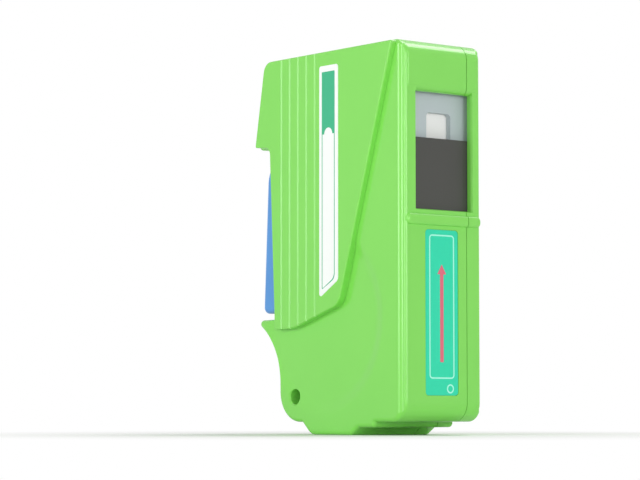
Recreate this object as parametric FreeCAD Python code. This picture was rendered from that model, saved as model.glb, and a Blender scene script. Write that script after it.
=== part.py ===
"""Hand-held cassette cleaner for fibre-optic connectors, built as an assembly.

A two-part moulded case holds a reel-to-reel cleaning tape. A squeeze lever in the back
turns a toothed sector, which lowers a shutter in front of the cleaning slot, and pushes a
pawl that turns the take-up reel.

The model is drawn with X across the case, Y from the front face to the back and Z up from
the surface that the case stands on. It is centred on its own box before it is written.
All sizes are in millimetres.
"""
import FreeCAD, Part
import math
import os

V = FreeCAD.Vector
AXIS_X = V(1, 0, 0)

# ---- Case: overall sizes -------------------------------------------------------------
CASE_WIDTH = 32.1            # across the case, without the raised grip panels
CASE_HEIGHT = 119.2          # top of the case above the surface it stands on
CASE_DEPTH = 66.7            # front face to the top back corner
BLOCK_OVERHANG = 5.1         # upper block's back tip behind the top back corner
COVER_DEPTH = 6.65           # thickness of the side cover, from its broad side to the seam
WALL = 2.2                   # moulded wall
RIM_RADIUS = 1.2             # rounding between the broad sides and the narrow faces
FRONT_RIM_RADIUS = 2.0       # rounding of the upright front edges
TIP_RADIUS = 1.3             # rounding of the outline's sharpest outer corners
FRONT_STEP = 0.8             # how far the front band stands out of the case
SEAM_WIDTH = 0.24            # visible line between shell and cover
SEAM_DEPTH = 0.35
BOSS_WALL = 2.0              # plastic round a reel's bearing
PIVOT_BOSS_WALL = 1.8        # plastic round the lever's pivot pin
CHECK_BOSS_WALL = 1.2        # plastic round the check pawl's pin
ROOT = 0.2                   # how far a boss or rib is sunk into the wall that carries it
PIVOT_SEAT = 1.0             # depth of the pivot pin's seat in each broad wall
CUT_OVER = 1.0               # how far a cutting tool runs past the face it cuts
SIDE_OVER = 3.0              # and past the broad faces
FAR = 200.0                  # well outside the case

# ---- Case: bottom and back outline ---------------------------------------------------
CHIN_HEIGHT = 4.0            # underside of the front chin
FOOT_HEIGHT = 2.3            # underside of the first step behind the chin
CHIN_LENGTH = 13.6
FOOT_LENGTH = 21.6
BELLY_START = 25.1
BELLY_END = 45.0
HOLE_Y = 52.8                # lanyard hole
HOLE_Z = 11.8
HOLE_RADIUS = 2.4
HOLE_LAND = 5.0              # plastic round the lanyard hole
HOLE_MOUTH = 0.5             # chamfer at each mouth of the lanyard hole
HOLE_MARGIN = 7.9            # lanyard hole's centre to the case's back and to its underside
HOLE_RUN_IN = 3.5            # lanyard hole's centre back to where the belly's slope ends
CORNER_RADIUS = 9.5          # back bottom corner, round the lanyard hole
FRONT_TOP_CORNER = 3.4       # roundings of the outline, from the front's top round by the foot
CHIN_CORNER = 5.0
CHIN_ROOT = 0.3
FOOT_CORNER = 1.5
BELLY_CORNER = 4.0
HOLE_RUN_CORNER = 2.0
SWEEP_SHARE = 1.6            # largest hollow curve for each mm of room under the ledge
THROAT_CORNER = 0.8
SHOULDER_CORNER = 2.4
BACK_TOP_CORNER = 4.2
LEDGE_HEIGHT = 36.3          # top of the finger ledge
LEDGE_TIP = 73.7             # sharp corner that the ledge's rounded tip is drawn in
LEDGE_ROOT = 9.1             # ledge's top down to where its underside would meet the back
LEDGE_SWEEP = 21.5           # hollow curve between the back and the ledge's underside
THROAT_Y = 61.4              # back of the case just above the ledge
SHOULDER_Y = 64.0            # back of the case just below the upper block
SHOULDER_DROP = 28.9         # top of the case down to the shoulder over the lever
BLOCK_TIP_DROP = 28.2        # top of the case down to the upper block's back tip

# ---- Grip panels on both broad sides -------------------------------------------------
PANEL_PROUD = 1.9
PANEL_EDGE = 0.5             # rounding of the panel's edge
PANEL_INSET = 0.5            # panel edge inside the case outline
PANEL_FRONT_TOP = 2.95       # front edge of the near panel at the top of the case
PANEL_SET_BACK = 2.5         # far panel's front edge behind the near one's, at the top
PANEL_KNEE = (28.5, 3.6)     # corner where the slanted front edge ends: Y, height over the ledge
PANEL_FOOT_Y = 51.5          # where the panel's lower edge turns level
PANEL_DROP = 3.3             # panel's level lower edge below the ledge
PANEL_STEP = 1.0             # ledge up to where the panel's back edge starts to follow the case
PANEL_TIP_BACK = 0.7         # panel edge inside the upper block's back tip
PANEL_TIP_UNDER = 0.6
PANEL_TIP_CORNER = 0.6       # roundings of the panel's outline
PANEL_KNEE_CORNER = 6.0
PANEL_FOOT_CORNER = 25.0
PANEL_HEEL_CORNER = 1.0
PANEL_TOP_CORNER = 3.8
PANEL_ROOT = 0.4             # panel sunk past the floor of the dish
RIB_COUNT = 5
RIB_PITCH = 4.25
RIB_FIRST_Y = 40.2
RIB_WIDTH = 1.0              # groove, steep towards the front and sloped towards the back
RIB_DEPTH = 0.4
RIB_STEEPNESS = 0.4          # groove's deepest line, forward of its middle, as a share of its width
RIB_OVER = 0.1               # cutter past the panel's face
DISH_Y = 38.4                # shallow round dish for the thumb
DISH_Z = 35.7
DISH_RADIUS = 29.7
DISH_DEPTH = 0.6
DISH_LIP = 5.0               # width of the dish's soft edge
DISH_SOFTNESS = 0.9          # how far the soft edge keeps its slope, as a share of its width

# ---- Front face ----------------------------------------------------------------------
FRONT_MARGIN = 1.05          # each broad side to the raised front band
FRONT_SINK = 0.35            # how far the band's ends stay under the case's top and chin
FRONT_TOP_RADIUS = 4.0
FRONT_CHIN_RADIUS = 5.4
FRONT_EDGE = 0.9
WINDOW_MARGIN_LEFT = 5.35    # near broad side to the window
WINDOW_MARGIN_RIGHT = 4.3    # far broad side to the window
WINDOW_DROP = 15.5           # top of the case down to the window
WINDOW_HEIGHT = 35.7
WINDOW_EDGE = 0.7
BROW_PROUD = 0.3             # raised block above the window
BROW_LIP = 2.1               # rounding over the window's upper edge
BEAD_DROP = 3.2              # window's lower edge down to the bead's centre line
BEAD_HEIGHT = 3.4
BEAD_PROUD = 1.0
BEAD_END_RADIUS = 1.5
ROUND_SHARE = 0.9            # rounding of a raised step as a share of its height
BEAD_INSET = 0.3             # front band's side to the bead's end
LABEL_MARGIN_LEFT = 8.8      # near broad side to the label
LABEL_MARGIN_RIGHT = 10.1    # far broad side to the label
LABEL_BOTTOM = 11.8
LABEL_DROP = 2.8             # bead's centre line down to the label
LABEL_POCKET = 0.3
LABEL_THICKNESS = 0.2
LABEL_RADIUS = 1.3
LABEL_GAP = 0.15             # label to the wall of its pocket

# ---- Side label ----------------------------------------------------------------------
SIDE_LABEL_FRONT = 28.4
SIDE_LABEL_BACK = 37.6
SIDE_LABEL_DROP = 5.0        # top of the case down to the label
SIDE_LABEL_RISE_FRONT = 11.1     # label's lower front corner over the ledge
SIDE_LABEL_RISE_BACK = 5.8       # label's lower back corner over the ledge
SIDE_LABEL_THICKNESS = 0.15
SIDE_LABEL_CORNERS = (1.0, 2.0, 0.8)     # top front, lower front, and both back corners

# ---- Lever ---------------------------------------------------------------------------
PIVOT_Y = 62.5
PIVOT_DROP = 21.2            # top of the case down to the lever's pivot
PIVOT_RADIUS = 2.0
LEVER_SWING = 7.0            # degrees each way from the half-squeezed rest pose
LEVER_INSET = 3.55           # broad side to the lever's side
LEVER_WALL = 2.0
LEVER_HUB_RADIUS = 3.9
LEVER_FOOT_GAP = 2.2         # ledge to the lever's lower end
LEVER_BACK_LOW = 73.9        # back face of the lever at its lower end
LEVER_BACK_HIGH = 71.8
LEVER_BEND = 15.5            # pivot down to the bend in the lever's back
LEVER_ARM = 12.0             # pivot down to the bend in the lever's front
LEVER_NECK_Y = 67.2          # back of the lever where it passes into the upper block
LEVER_NECK = 7.0             # pivot down to the start of the neck
LEVER_FRONT_LOW = 62.5
LEVER_FRONT_HIGH = 60.0
LEVER_EDGE = 1.4
LEVER_TOE_CORNER = 1.0       # roundings of the lever's outline, from its toe to its arm
LEVER_HEEL_CORNER = 2.0
LEVER_BEND_CORNER = 10.0
LEVER_NECK_CORNER = 4.0
LEVER_ARM_CORNER = 3.0
LEVER_EDGE_RUN_OUT = (1.0, 0.4)      # where the soft edge stops: behind and below the neck
LEVER_SIDE_GAP = 1.0         # case wall to lever, at the slot it swings in
LEVER_NECK_ROOM = 1.7        # space behind the lever's neck when it is let go
LEVER_SLOT_DEPTH = 12.0      # shoulder to the front end of the slot
LEVER_SLOT_ROOF = 0.5        # shoulder down to the top of the wide part of the slot
LEVER_SLOT_LAP = 1.5         # how far the slot's two parts overlap
LEVER_SLOT_STOP = 2.0        # pivot down to the top of the slot

# ---- Gears ---------------------------------------------------------------------------
MODULE = 1.0
PINION_TEETH = 12
GEAR_TEETH = 36
SECTOR_TEETH_FULL = 82       # teeth on the full circle that the sector is cut from
SECTOR_TEETH = 9
GEAR_THICKNESS = 2.0
PINION_THICKNESS = 2.4
SECTOR_THICKNESS = 1.8
TOOTH_FILL = 0.42            # tooth width as a share of the pitch, at the pitch line
RACK_ROOT_SHARE = 0.72       # half of a rack tooth at its root, and at its tip, for each tooth width
RACK_TIP_SHARE = 0.30
SECTOR_WINDOW = (0.32, 0.82)     # inner and outer end of the sector's window, of its pitch radius
SECTOR_WINDOW_TURN = (0.45, 0.62)    # half its width there, as a share of the sector's half angle
SECTOR_WINDOW_CORNER = 0.6
GEAR_HOLES = 6
GEAR_HOLE_RADIUS = 3.0
GEAR_HOLE_SHIFT = 0.6        # holes outside the middle of the web
ADDENDUM = 0.8
DEDENDUM = 1.2
GEAR_PIN_RADIUS = 1.5
GEAR_BOSS_WALL = 1.5
GEAR_PIN_SEAT = 0.9          # depth of the gear pin's seat in the broad wall
PIN_END_GAP = 0.1            # end of a pin to the floor of its seat

# ---- Shutter -------------------------------------------------------------------------
SHUTTER_FRONT = 2.4          # face of the shutter behind the front face
SHUTTER_THICKNESS = 1.5
SHUTTER_DROP = 13.8          # window's top down to the half-lowered shutter
SHUTTER_HEIGHT = 41.4
SHUTTER_SIDE_GAP = 0.4
SHUTTER_FACE_GAP = 0.2       # front wall to shutter
RACK_BACKING = 1.3
RACK_TEETH = 12
RACK_ROOT = 0.2              # rack and shelf sunk into the shutter
SHELF_THICKNESS = 1.5
SPRING_RADIUS = 1.75         # coil centre line
SPRING_WIRE = 0.35
SPRING_TURNS = 7
SPRING_END_GAP = 0.02        # coil to its seat
SPRING_SEAT_Z = 16.0
SPRING_SEAT_THICKNESS = 1.5
SPRING_SEAT_REACH = 0.6      # seat past the coil's centre line
CHANNEL_END = 1.0            # channel past the shutter at each end of its travel
CHANNEL_LAP = 0.1            # how far the channel is cut past the front wall

# ---- Window plate and tape -----------------------------------------------------------
PLATE_FRONT = 4.4
PLATE_THICKNESS = 1.8
PLATE_OVER = 2.3             # plate above the window's top
PLATE_UNDER = 2.0            # plate below the window's lower edge
PLATE_BESIDE = 0.5           # plate past the window's near edge
SLOT_MARGIN_LEFT = 1.05      # tape's near edge to the slot
SLOT_MARGIN_RIGHT = 1.15     # slot to the tape's far edge
SLOT_DROP = 5.7              # window's top down to the slot
SLOT_HEIGHT = 22.0
SLOT_RADIUS = 1.4
PLATE_CORNER = 1.0
TAPE_THICKNESS = 0.25
TAPE_GAP = 0.25              # plate to tape, and tape to pad
PAD_THICKNESS = 2.3
PAD_MARGIN = 1.0
PAD_SIDE_GAP = 0.3
PAD_EDGE = 0.9
PAD_SHELF = 1.8              # thickness of the chassis shelf behind the pad
PAD_SHELF_UNDER = 2.5        # slot down to the shelf's end
PAD_SHELF_OVER = 0.5         # slot up to the shelf's other end

# ---- Reels ---------------------------------------------------------------------------
SUPPLY_Y = 37.0
SUPPLY_DROP = 28.2           # top of the case down to the supply reel's axis
TAKE_UP_Y = 36.0
TAKE_UP_SINK = 5.3           # ledge down to the take-up reel's axis
REEL_RADIUS = 18.5
REEL_HUB_RADIUS = 6.5
FLANGE_THICKNESS = 0.9
FLANGE_GAP = 0.2
FLANGE_HOLES = 6
FLANGE_HOLE_SHARE = 0.27     # radius of a flange's hole for each mm of free flange
SUPPLY_ROLL_RADIUS = 16.0
TAKE_UP_ROLL_RADIUS = 10.0
POST_RADIUS = 3.0
SPINDLE_RADIUS = 2.5
HEX_FLATS = 5.0
COLLAR_WALL = 1.6            # collar that keeps the take-up reel off the chassis
COLLAR_GAP = 0.15            # chassis to that collar
BLANK_WALL = 1.0             # bar that the drive hexagon is cut from, past the spindle
ROLLER_RADIUS = 3.6
ROLLER_PIN_RADIUS = 1.25
ROLLER_BOSS_WALL = 1.0
ROLLER_PIN_OVER = 1.2        # end of a roller's pin past the tape
ROLLER_OVER = 0.3            # upper roller above the window's top
ROLLER_UNDER = 6.5           # lower roller below the window's lower edge
WASHER_RADIUS = 9.0
WASHER_THICKNESS = 0.4
WASHER_PLAY = 0.1

# ---- Mechanism layers, counted from the inner face of the main shell -----------------
CHASSIS_THICKNESS = 1.5
CHASSIS_SET_BACK = 5.5       # chassis edge behind the window plate
CHASSIS_TOP_DROP = 4.7       # top of the case down to the chassis
CHASSIS_BOTTOM = 9.5
CHASSIS_WAIST = (53.5, 50.0)     # back edge below and above the gear's step
CHASSIS_BACK = 57.0          # back edge behind the supply reel
CHASSIS_LOW_BACK = 38.0      # back edge at the bottom, in front of the lanyard hole
CHASSIS_CORNER = 3.0
CHASSIS_SOFT_CORNER = 2.0
CHASSIS_TONGUE = 0.8         # rounding where the chassis meets the window plate
CHASSIS_NOTCH = 0.5          # clearance under the window plate
CHASSIS_LOW_STEP = 6.0       # take-up axis down to where the back edge turns out
CHASSIS_WAIST_SPAN = (13.0, 17.0)    # step in the back edge, over the drive pawl
CHASSIS_SUPPLY_STEP = 1.0    # supply axis down to where the back edge turns out
CHASSIS_TOP_STEP = 8.0       # top of the chassis down to where the back edge is straight
CHASSIS_SEAT_FLOOR = 0.4     # chassis left under a blind seat
LAYER_GAP = 0.3
RATCHET_THICKNESS = 1.5
RATCHET_RADIUS = 9.0
RATCHET_DEPTH = 1.1
RATCHET_TEETH = 20
RATCHET_UNDERCUT = 0.15      # tooth root ahead of its tip, as a share of the pitch
PAWL_CLEARANCE = 0.3
ROD_PIVOT_Y = 63.5
ROD_HEIGHT = 3.2
ROD_TIP_Y = 31.0
ROD_TAPER = 0.6              # bar's top down to the top of its tip
ROD_NOSE_CORNER = 0.8
ROD_HOOK = 2.6               # length of the hook at the tip
ROD_HOOK_CORNER = 0.3
ROD_EYE_WALL = 0.6           # eye past the bar's edge
ROD_PIN_INSET = 0.2          # pin's head under the lever's side
ROD_PIN_RADIUS = 1.2
CHECK_ANGLE = math.radians(225)      # where the check pawl meets the ratchet wheel
CHECK_LENGTH = 8.0
CHECK_PIN_RADIUS = 1.0
CHECK_WIDTH = 2.6
CHECK_NOSE = 1.6             # width of the check pawl's tip, for each mm of its half width
CHECK_TAIL_SHARE = 0.4       # tail's top over the pin, for each mm of that half width
CHECK_EYE_WALL = 0.5         # eye past the arm's edge
CHECK_TAIL = 6.0
CHECK_SPRING_LENGTH = 9.0
CHECK_SPRING_RADIUS = 0.8
CHECK_SPRING_WIRE = 0.18
CHECK_SPRING_TURNS = 6
CHECK_RIB_SIZE = 1.6         # rib that holds the check pawl's spring, and half its width
ROD_LUG_WALL = 1.6           # plastic round the drive pawl's pin in the lever

# ---- Fasteners -----------------------------------------------------------------------
CASE_SCREW_DROP = 7.5        # top of the case down to the upper case screws
CASE_SCREW_FRONT = 8.0
CASE_SCREW_BACK = 61.3
CASE_SCREW_LOW = 11.6
LEDGE_SCREW = (59.0, 5.3)    # screw in the ledge: Y, depth under the ledge
CHASSIS_SCREW_DROP = 8.7     # top of the case down to the upper chassis screws
CASE_POST_RADIUS = 3.0
CHASSIS_POST_RADIUS = 2.4
SCREW_RADIUS = 1.2
SCREW_HEAD_RADIUS = 2.2
SCREW_HEAD_HEIGHT = 1.5
SCREW_HEAD_ROUND = 0.45      # head's rounding as a share of its height
CROSS_REACH = 0.55           # cross recess: half length and half width, of the head's radius
CROSS_WIDTH = 0.11
CROSS_DEPTH = 0.55           # and its depth, of the head's height
CHASSIS_SCREW_INSET = (3.3, 3.6)     # upper chassis screws behind the front edge and before the back one
CHASSIS_FOOT_INSET = (5.3, 3.5)      # lower chassis screw: behind the front edge, over the bottom edge
CHASSIS_WAIST_INSET = (1.5, 10.0)    # fourth one: before the waist's edge, over the drive pawl's pin
SCREW_GRIP = 8.0
CHASSIS_SCREW_GRIP = 6.4
SCREW_END_GAP = 0.6          # end of a case screw to the floor of its hole
CHASSIS_SCREW_END_GAP = 0.4
SCREW_HEAD_GAP = 0.3         # screw head to the wall of its recess
SCREW_HOLE_GAP = 0.15        # chassis screw to the hole in the chassis
COVER_POST_WALL = 0.6        # cover's screw posts past the shell's
SCREW_SINK = 2.4             # how deep a case screw's head sits in the cover
CHASSIS_HEAD_HEIGHT = 0.9

# ---- Fits ----------------------------------------------------------------------------
RUNNING = 0.06               # radial clearance of a shaft in its bore
SEATED = 0.03                # clearance of a piece that is fixed in its seat
PLAY = 0.3                   # gap beside a moving piece
SHAFT_END_GAP = 0.2          # end of a shaft to the broad wall

# ---- Values that follow from the sizes above -----------------------------------------
HALF = CASE_WIDTH / 2
INNER_LEFT = -HALF + WALL
INNER_RIGHT = HALF - WALL
SEAM_X = HALF - COVER_DEPTH
BACK_TIP = CASE_DEPTH + BLOCK_OVERHANG
SHOULDER_Z = CASE_HEIGHT - SHOULDER_DROP
BLOCK_TIP_Z = CASE_HEIGHT - BLOCK_TIP_DROP
FRONT_LEFT = -HALF + FRONT_MARGIN
FRONT_RIGHT = HALF - FRONT_MARGIN
HOLE_FLOOR = HOLE_Z - HOLE_MARGIN
LEDGE_ROOT_Z = LEDGE_HEIGHT - LEDGE_ROOT
TAKE_UP_Z = LEDGE_HEIGHT - TAKE_UP_SINK
WINDOW_LEFT = -HALF + WINDOW_MARGIN_LEFT
WINDOW_RIGHT = HALF - WINDOW_MARGIN_RIGHT
WINDOW_TOP = CASE_HEIGHT - WINDOW_DROP
WINDOW_BOTTOM = WINDOW_TOP - WINDOW_HEIGHT
BEAD_Z = WINDOW_BOTTOM - BEAD_DROP
LABEL_LEFT = -HALF + LABEL_MARGIN_LEFT
LABEL_RIGHT = HALF - LABEL_MARGIN_RIGHT
LABEL_TOP = BEAD_Z - LABEL_DROP
SIDE_LABEL_TOP = CASE_HEIGHT - SIDE_LABEL_DROP
SIDE_LABEL_LOW_FRONT = LEDGE_HEIGHT + SIDE_LABEL_RISE_FRONT
SIDE_LABEL_LOW_BACK = LEDGE_HEIGHT + SIDE_LABEL_RISE_BACK
PIVOT_Z = CASE_HEIGHT - PIVOT_DROP
LEVER_WIDTH = CASE_WIDTH - 2 * LEVER_INSET
LEVER_BOTTOM = LEDGE_HEIGHT + LEVER_FOOT_GAP
LEVER_BEND_Z = PIVOT_Z - LEVER_BEND
LEVER_ARM_Z = PIVOT_Z - LEVER_ARM
LEVER_NECK_Z = PIVOT_Z - LEVER_NECK
SHUTTER_TOP = WINDOW_TOP - SHUTTER_DROP
SHUTTER_BOTTOM = SHUTTER_TOP - SHUTTER_HEIGHT
PLATE_TOP = WINDOW_TOP + PLATE_OVER
PLATE_BOTTOM = WINDOW_BOTTOM - PLATE_UNDER
PLATE_LEFT = WINDOW_LEFT - PLATE_BESIDE
SLOT_TOP = WINDOW_TOP - SLOT_DROP
SLOT_BOTTOM = SLOT_TOP - SLOT_HEIGHT
SUPPLY_Z = CASE_HEIGHT - SUPPLY_DROP
UPPER_ROLLER_Z = WINDOW_TOP + ROLLER_OVER
LOWER_ROLLER_Z = WINDOW_BOTTOM - ROLLER_UNDER
GEAR_LEFT = INNER_LEFT + LAYER_GAP
GEAR_RIGHT = GEAR_LEFT + GEAR_THICKNESS
PINION_RIGHT = GEAR_RIGHT + PINION_THICKNESS
RATCHET_LEFT = PINION_RIGHT + LAYER_GAP
RATCHET_RIGHT = RATCHET_LEFT + RATCHET_THICKNESS
CHASSIS_LEFT = RATCHET_RIGHT + LAYER_GAP
CHASSIS_RIGHT = CHASSIS_LEFT + CHASSIS_THICKNESS
CHASSIS_TOP = CASE_HEIGHT - CHASSIS_TOP_DROP
REEL_LEFT = CHASSIS_RIGHT + WASHER_THICKNESS + WASHER_PLAY
REEL_RIGHT = SEAM_X - PLAY
TAPE_LEFT = REEL_LEFT + FLANGE_THICKNESS + FLANGE_GAP
TAPE_RIGHT = REEL_RIGHT - FLANGE_THICKNESS - FLANGE_GAP
TAPE_WIDTH = TAPE_RIGHT - TAPE_LEFT
SLOT_LEFT = TAPE_LEFT + SLOT_MARGIN_LEFT
SLOT_RIGHT = TAPE_RIGHT - SLOT_MARGIN_RIGHT
SECTOR_LEFT = GEAR_RIGHT + (PINION_THICKNESS - SECTOR_THICKNESS) / 2
GEAR_PITCH = MODULE * GEAR_TEETH / 2
PINION_PITCH = MODULE * PINION_TEETH / 2
SECTOR_PITCH = MODULE * SECTOR_TEETH_FULL / 2
RACK_PITCH_Y = SHUTTER_FRONT + SHUTTER_THICKNESS + RACK_BACKING + DEDENDUM * MODULE
GEAR_Y = RACK_PITCH_Y + GEAR_PITCH
GEAR_SPACING = SECTOR_PITCH + PINION_PITCH
GEAR_Z = PIVOT_Z - math.sqrt(GEAR_SPACING ** 2 - (PIVOT_Y - GEAR_Y) ** 2)
SHUTTER_TRAVEL = math.radians(LEVER_SWING) * SECTOR_PITCH * GEAR_PITCH / PINION_PITCH
SECTOR_HEADING = math.atan2(GEAR_Z - PIVOT_Z, GEAR_Y - PIVOT_Y)
TAPE_FRONT = PLATE_FRONT + PLATE_THICKNESS + TAPE_GAP
PAD_FRONT = TAPE_FRONT + TAPE_THICKNESS + TAPE_GAP
PAD_BACK = PAD_FRONT + PAD_THICKNESS
ROLLER_Y = TAPE_FRONT + TAPE_THICKNESS + RUNNING + ROLLER_RADIUS
ROD_PIVOT_Z = TAKE_UP_Z + RATCHET_RADIUS + PAWL_CLEARANCE + RATCHET_DEPTH + ROD_HEIGHT / 2
SPRING_Y = SHUTTER_FRONT + SHUTTER_THICKNESS + PLAY + SPRING_RADIUS + SPRING_WIRE
SPRING_X = CHASSIS_LEFT - PLAY - SPRING_RADIUS - SPRING_WIRE
CHECK_REACH = RATCHET_RADIUS + PAWL_CLEARANCE
CHECK_TIP_Y = TAKE_UP_Y + CHECK_REACH * math.cos(CHECK_ANGLE)
CHECK_TIP_Z = TAKE_UP_Z + CHECK_REACH * math.sin(CHECK_ANGLE)
CHECK_PIVOT_Y = CHECK_TIP_Y + CHECK_LENGTH * math.sin(CHECK_ANGLE)
CHECK_PIVOT_Z = CHECK_TIP_Z - CHECK_LENGTH * math.cos(CHECK_ANGLE)
CHECK_SPRING_Y = CHECK_PIVOT_Y - CHECK_TAIL + CHECK_SPRING_RADIUS + CHECK_SPRING_WIRE
CHECK_TAIL_Z = CHECK_PIVOT_Z - CHECK_WIDTH / 2
CHECK_RIB_Z = CHECK_TAIL_Z - CHECK_SPRING_LENGTH
CASE_SCREWS = [(CASE_SCREW_FRONT, CASE_HEIGHT - CASE_SCREW_DROP),
               (CASE_SCREW_BACK, CASE_HEIGHT - CASE_SCREW_DROP),
               (CASE_SCREW_FRONT, CASE_SCREW_LOW),
               (LEDGE_SCREW[0], LEDGE_HEIGHT - LEDGE_SCREW[1])]
CHASSIS_FRONT = PLATE_FRONT + PLATE_THICKNESS + CHASSIS_SET_BACK
CHASSIS_SCREWS = [(CHASSIS_FRONT + CHASSIS_SCREW_INSET[0], CASE_HEIGHT - CHASSIS_SCREW_DROP),
                  (CHASSIS_BACK - CHASSIS_SCREW_INSET[1], CASE_HEIGHT - CHASSIS_SCREW_DROP),
                  (CHASSIS_FRONT + CHASSIS_FOOT_INSET[0], CHASSIS_BOTTOM + CHASSIS_FOOT_INSET[1]),
                  (CHASSIS_WAIST[0] - CHASSIS_WAIST_INSET[0], ROD_PIVOT_Z + CHASSIS_WAIST_INSET[1])]


# ---- Helpers -------------------------------------------------------------------------
def box(x0, x1, y0, y1, z0, z1):
    """Return a box between two corners."""
    return Part.makeBox(x1 - x0, y1 - y0, z1 - z0, V(x0, y0, z0))


def rod(y, z, radius, x0, x1):
    """Return a cylinder along X."""
    return Part.makeCylinder(radius, x1 - x0, V(x0, y, z), AXIS_X)


def rounded_wire(corners, x):
    """Return a closed wire in the plane at x through (y, z, radius) corners."""
    count = len(corners)
    starts, ends, edges = [], [], []
    for i in range(count):
        here = V(x, corners[i][0], corners[i][1])
        before = V(x, corners[i - 1][0], corners[i - 1][1]) - here
        after = V(x, corners[(i + 1) % count][0], corners[(i + 1) % count][1]) - here
        radius = corners[i][2]
        if radius == 0:
            starts.append(here)
            ends.append(here)
            continue
        angle = before.getAngle(after)
        reach = radius / math.tan(angle / 2)
        before.normalize()
        after.normalize()
        start = here + before * reach
        end = here + after * reach
        middle = before + after
        middle.normalize()
        centre = here + middle * (radius / math.sin(angle / 2))
        edges.append((i, Part.Arc(start, centre - middle * radius, end).toShape()))
        starts.append(start)
        ends.append(end)
    arcs = dict(edges)
    path = []
    for i in range(count):
        if i in arcs:
            path.append(arcs[i])
        follow = starts[(i + 1) % count]
        if (follow - ends[i]).Length > 1e-6:
            path.append(Part.LineSegment(ends[i], follow).toShape())
    return Part.Wire(path)


def prism(corners, x0, x1):
    """Return the solid of a (y, z, radius) outline between x0 and x1."""
    return Part.Face(rounded_wire(corners, x0)).extrude(V(x1 - x0, 0, 0))


def front_pad(x0, x1, y0, y1, z0, z1, radius):
    """Return a plate with rounded corners that faces the front."""
    plate = box(x0, x1, y0, y1, z0, z1)
    upright = [e for e in plate.Edges if abs(e.Vertexes[0].Y - e.Vertexes[-1].Y) > 1e-6]
    return plate.makeFillet(radius, upright)


def edges_at(shape, axis, value):
    """Return the edges that lie wholly in the plane where axis has the value."""
    low, high = axis + "Min", axis + "Max"
    return [e for e in shape.Edges
            if abs(getattr(e.BoundBox, low) - value) < 1e-4
            and abs(getattr(e.BoundBox, high) - value) < 1e-4]


def coil(centre, radius, wire, turns, bottom, top):
    """Return a coil spring along Z, with a six-sided wire and ground flat length."""
    steps = 12
    low, high = bottom + wire, top - wire
    count = int(turns * steps)
    points = []
    for i in range(count + 1):
        turn = 2 * math.pi * i / steps
        lift = low + (high - low) * i / count
        points.append(V(centre.x + radius * math.cos(turn),
                        centre.y + radius * math.sin(turn), lift))
    path = Part.makePolygon(points)
    heading = points[1] - points[0]
    circle = Part.makeCircle(wire, points[0], heading)
    section = Part.makePolygon(circle.discretize(Number=7))
    return path.makePipeShell([section], True, False, 1)


def toothed_wheel(centre_y, centre_z, teeth, x0, x1, first=0.0, keep=None):
    """Return a spur wheel along X; keep limits how many teeth are cut, about first."""
    pitch = MODULE * teeth / 2
    tip, root = pitch + ADDENDUM * MODULE, pitch - DEDENDUM * MODULE
    step = 2 * math.pi / teeth
    tip_half, root_half = step * TOOTH_FILL * 0.28, step * TOOTH_FILL * 0.68
    numbers = range(teeth) if keep is None else range(-(keep // 2), keep - keep // 2)
    corners = []
    for i in numbers:
        middle = first + i * step
        for radius, angle in ((root, -root_half), (tip, -tip_half), (tip, tip_half), (root, root_half)):
            corners.append(V(x0, centre_y + radius * math.cos(middle + angle),
                             centre_z + radius * math.sin(middle + angle)))
    if keep is not None:
        corners.append(V(x0, centre_y, centre_z))
    return Part.Face(Part.makePolygon(corners + [corners[0]])).extrude(V(x1 - x0, 0, 0))


def screw(y, z, head_x, head_height, length, towards=-1):
    """Return a pan-head screw along X whose head stands on the plane at head_x."""
    shank = Part.makeCylinder(SCREW_RADIUS, length, V(head_x, y, z), AXIS_X * towards)
    head = Part.makeCylinder(SCREW_HEAD_RADIUS, head_height, V(head_x, y, z), AXIS_X * -towards)
    outer = edges_at(head, "X", head_x - towards * head_height)
    head = head.makeFillet(head_height * SCREW_HEAD_ROUND, outer)
    arm = SCREW_HEAD_RADIUS * CROSS_REACH
    width = SCREW_HEAD_RADIUS * CROSS_WIDTH
    face = head_x - towards * head_height
    deep = face + towards * head_height * CROSS_DEPTH
    low, high = min(face, deep), max(face, deep)
    head = head.cut(box(low, high, y - arm, y + arm, z - width, z + width))
    head = head.cut(box(low, high, y - width, y + width, z - arm, z + arm))
    return head.fuse(shank).removeSplitter()


# ---- Case ----------------------------------------------------------------------------
def case_outline():
    """Return the side view of the case as (y, z, radius) corners, front band left off."""
    room = LEDGE_ROOT_Z - HOLE_FLOOR - CORNER_RADIUS
    return [
        (FRONT_STEP, CASE_HEIGHT, FRONT_TOP_CORNER),
        (FRONT_STEP, CHIN_HEIGHT, CHIN_CORNER),
        (CHIN_LENGTH, CHIN_HEIGHT, CHIN_ROOT),
        (CHIN_LENGTH, FOOT_HEIGHT, TIP_RADIUS),
        (FOOT_LENGTH, FOOT_HEIGHT, FOOT_CORNER),
        (BELLY_START, 0.0, FOOT_CORNER),
        (BELLY_END, 0.0, BELLY_CORNER),
        (HOLE_Y - HOLE_RUN_IN, HOLE_FLOOR, HOLE_RUN_CORNER),
        (HOLE_Y + HOLE_MARGIN, HOLE_FLOOR, CORNER_RADIUS),
        (HOLE_Y + HOLE_MARGIN, LEDGE_ROOT_Z, min(LEDGE_SWEEP, room * SWEEP_SHARE)),
        (LEDGE_TIP, LEDGE_HEIGHT, TIP_RADIUS),
        (THROAT_Y, LEDGE_HEIGHT, THROAT_CORNER),
        (SHOULDER_Y, SHOULDER_Z, SHOULDER_CORNER),
        (BACK_TIP, BLOCK_TIP_Z, TIP_RADIUS),
        (CASE_DEPTH, CASE_HEIGHT, BACK_TOP_CORNER),
    ]


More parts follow.
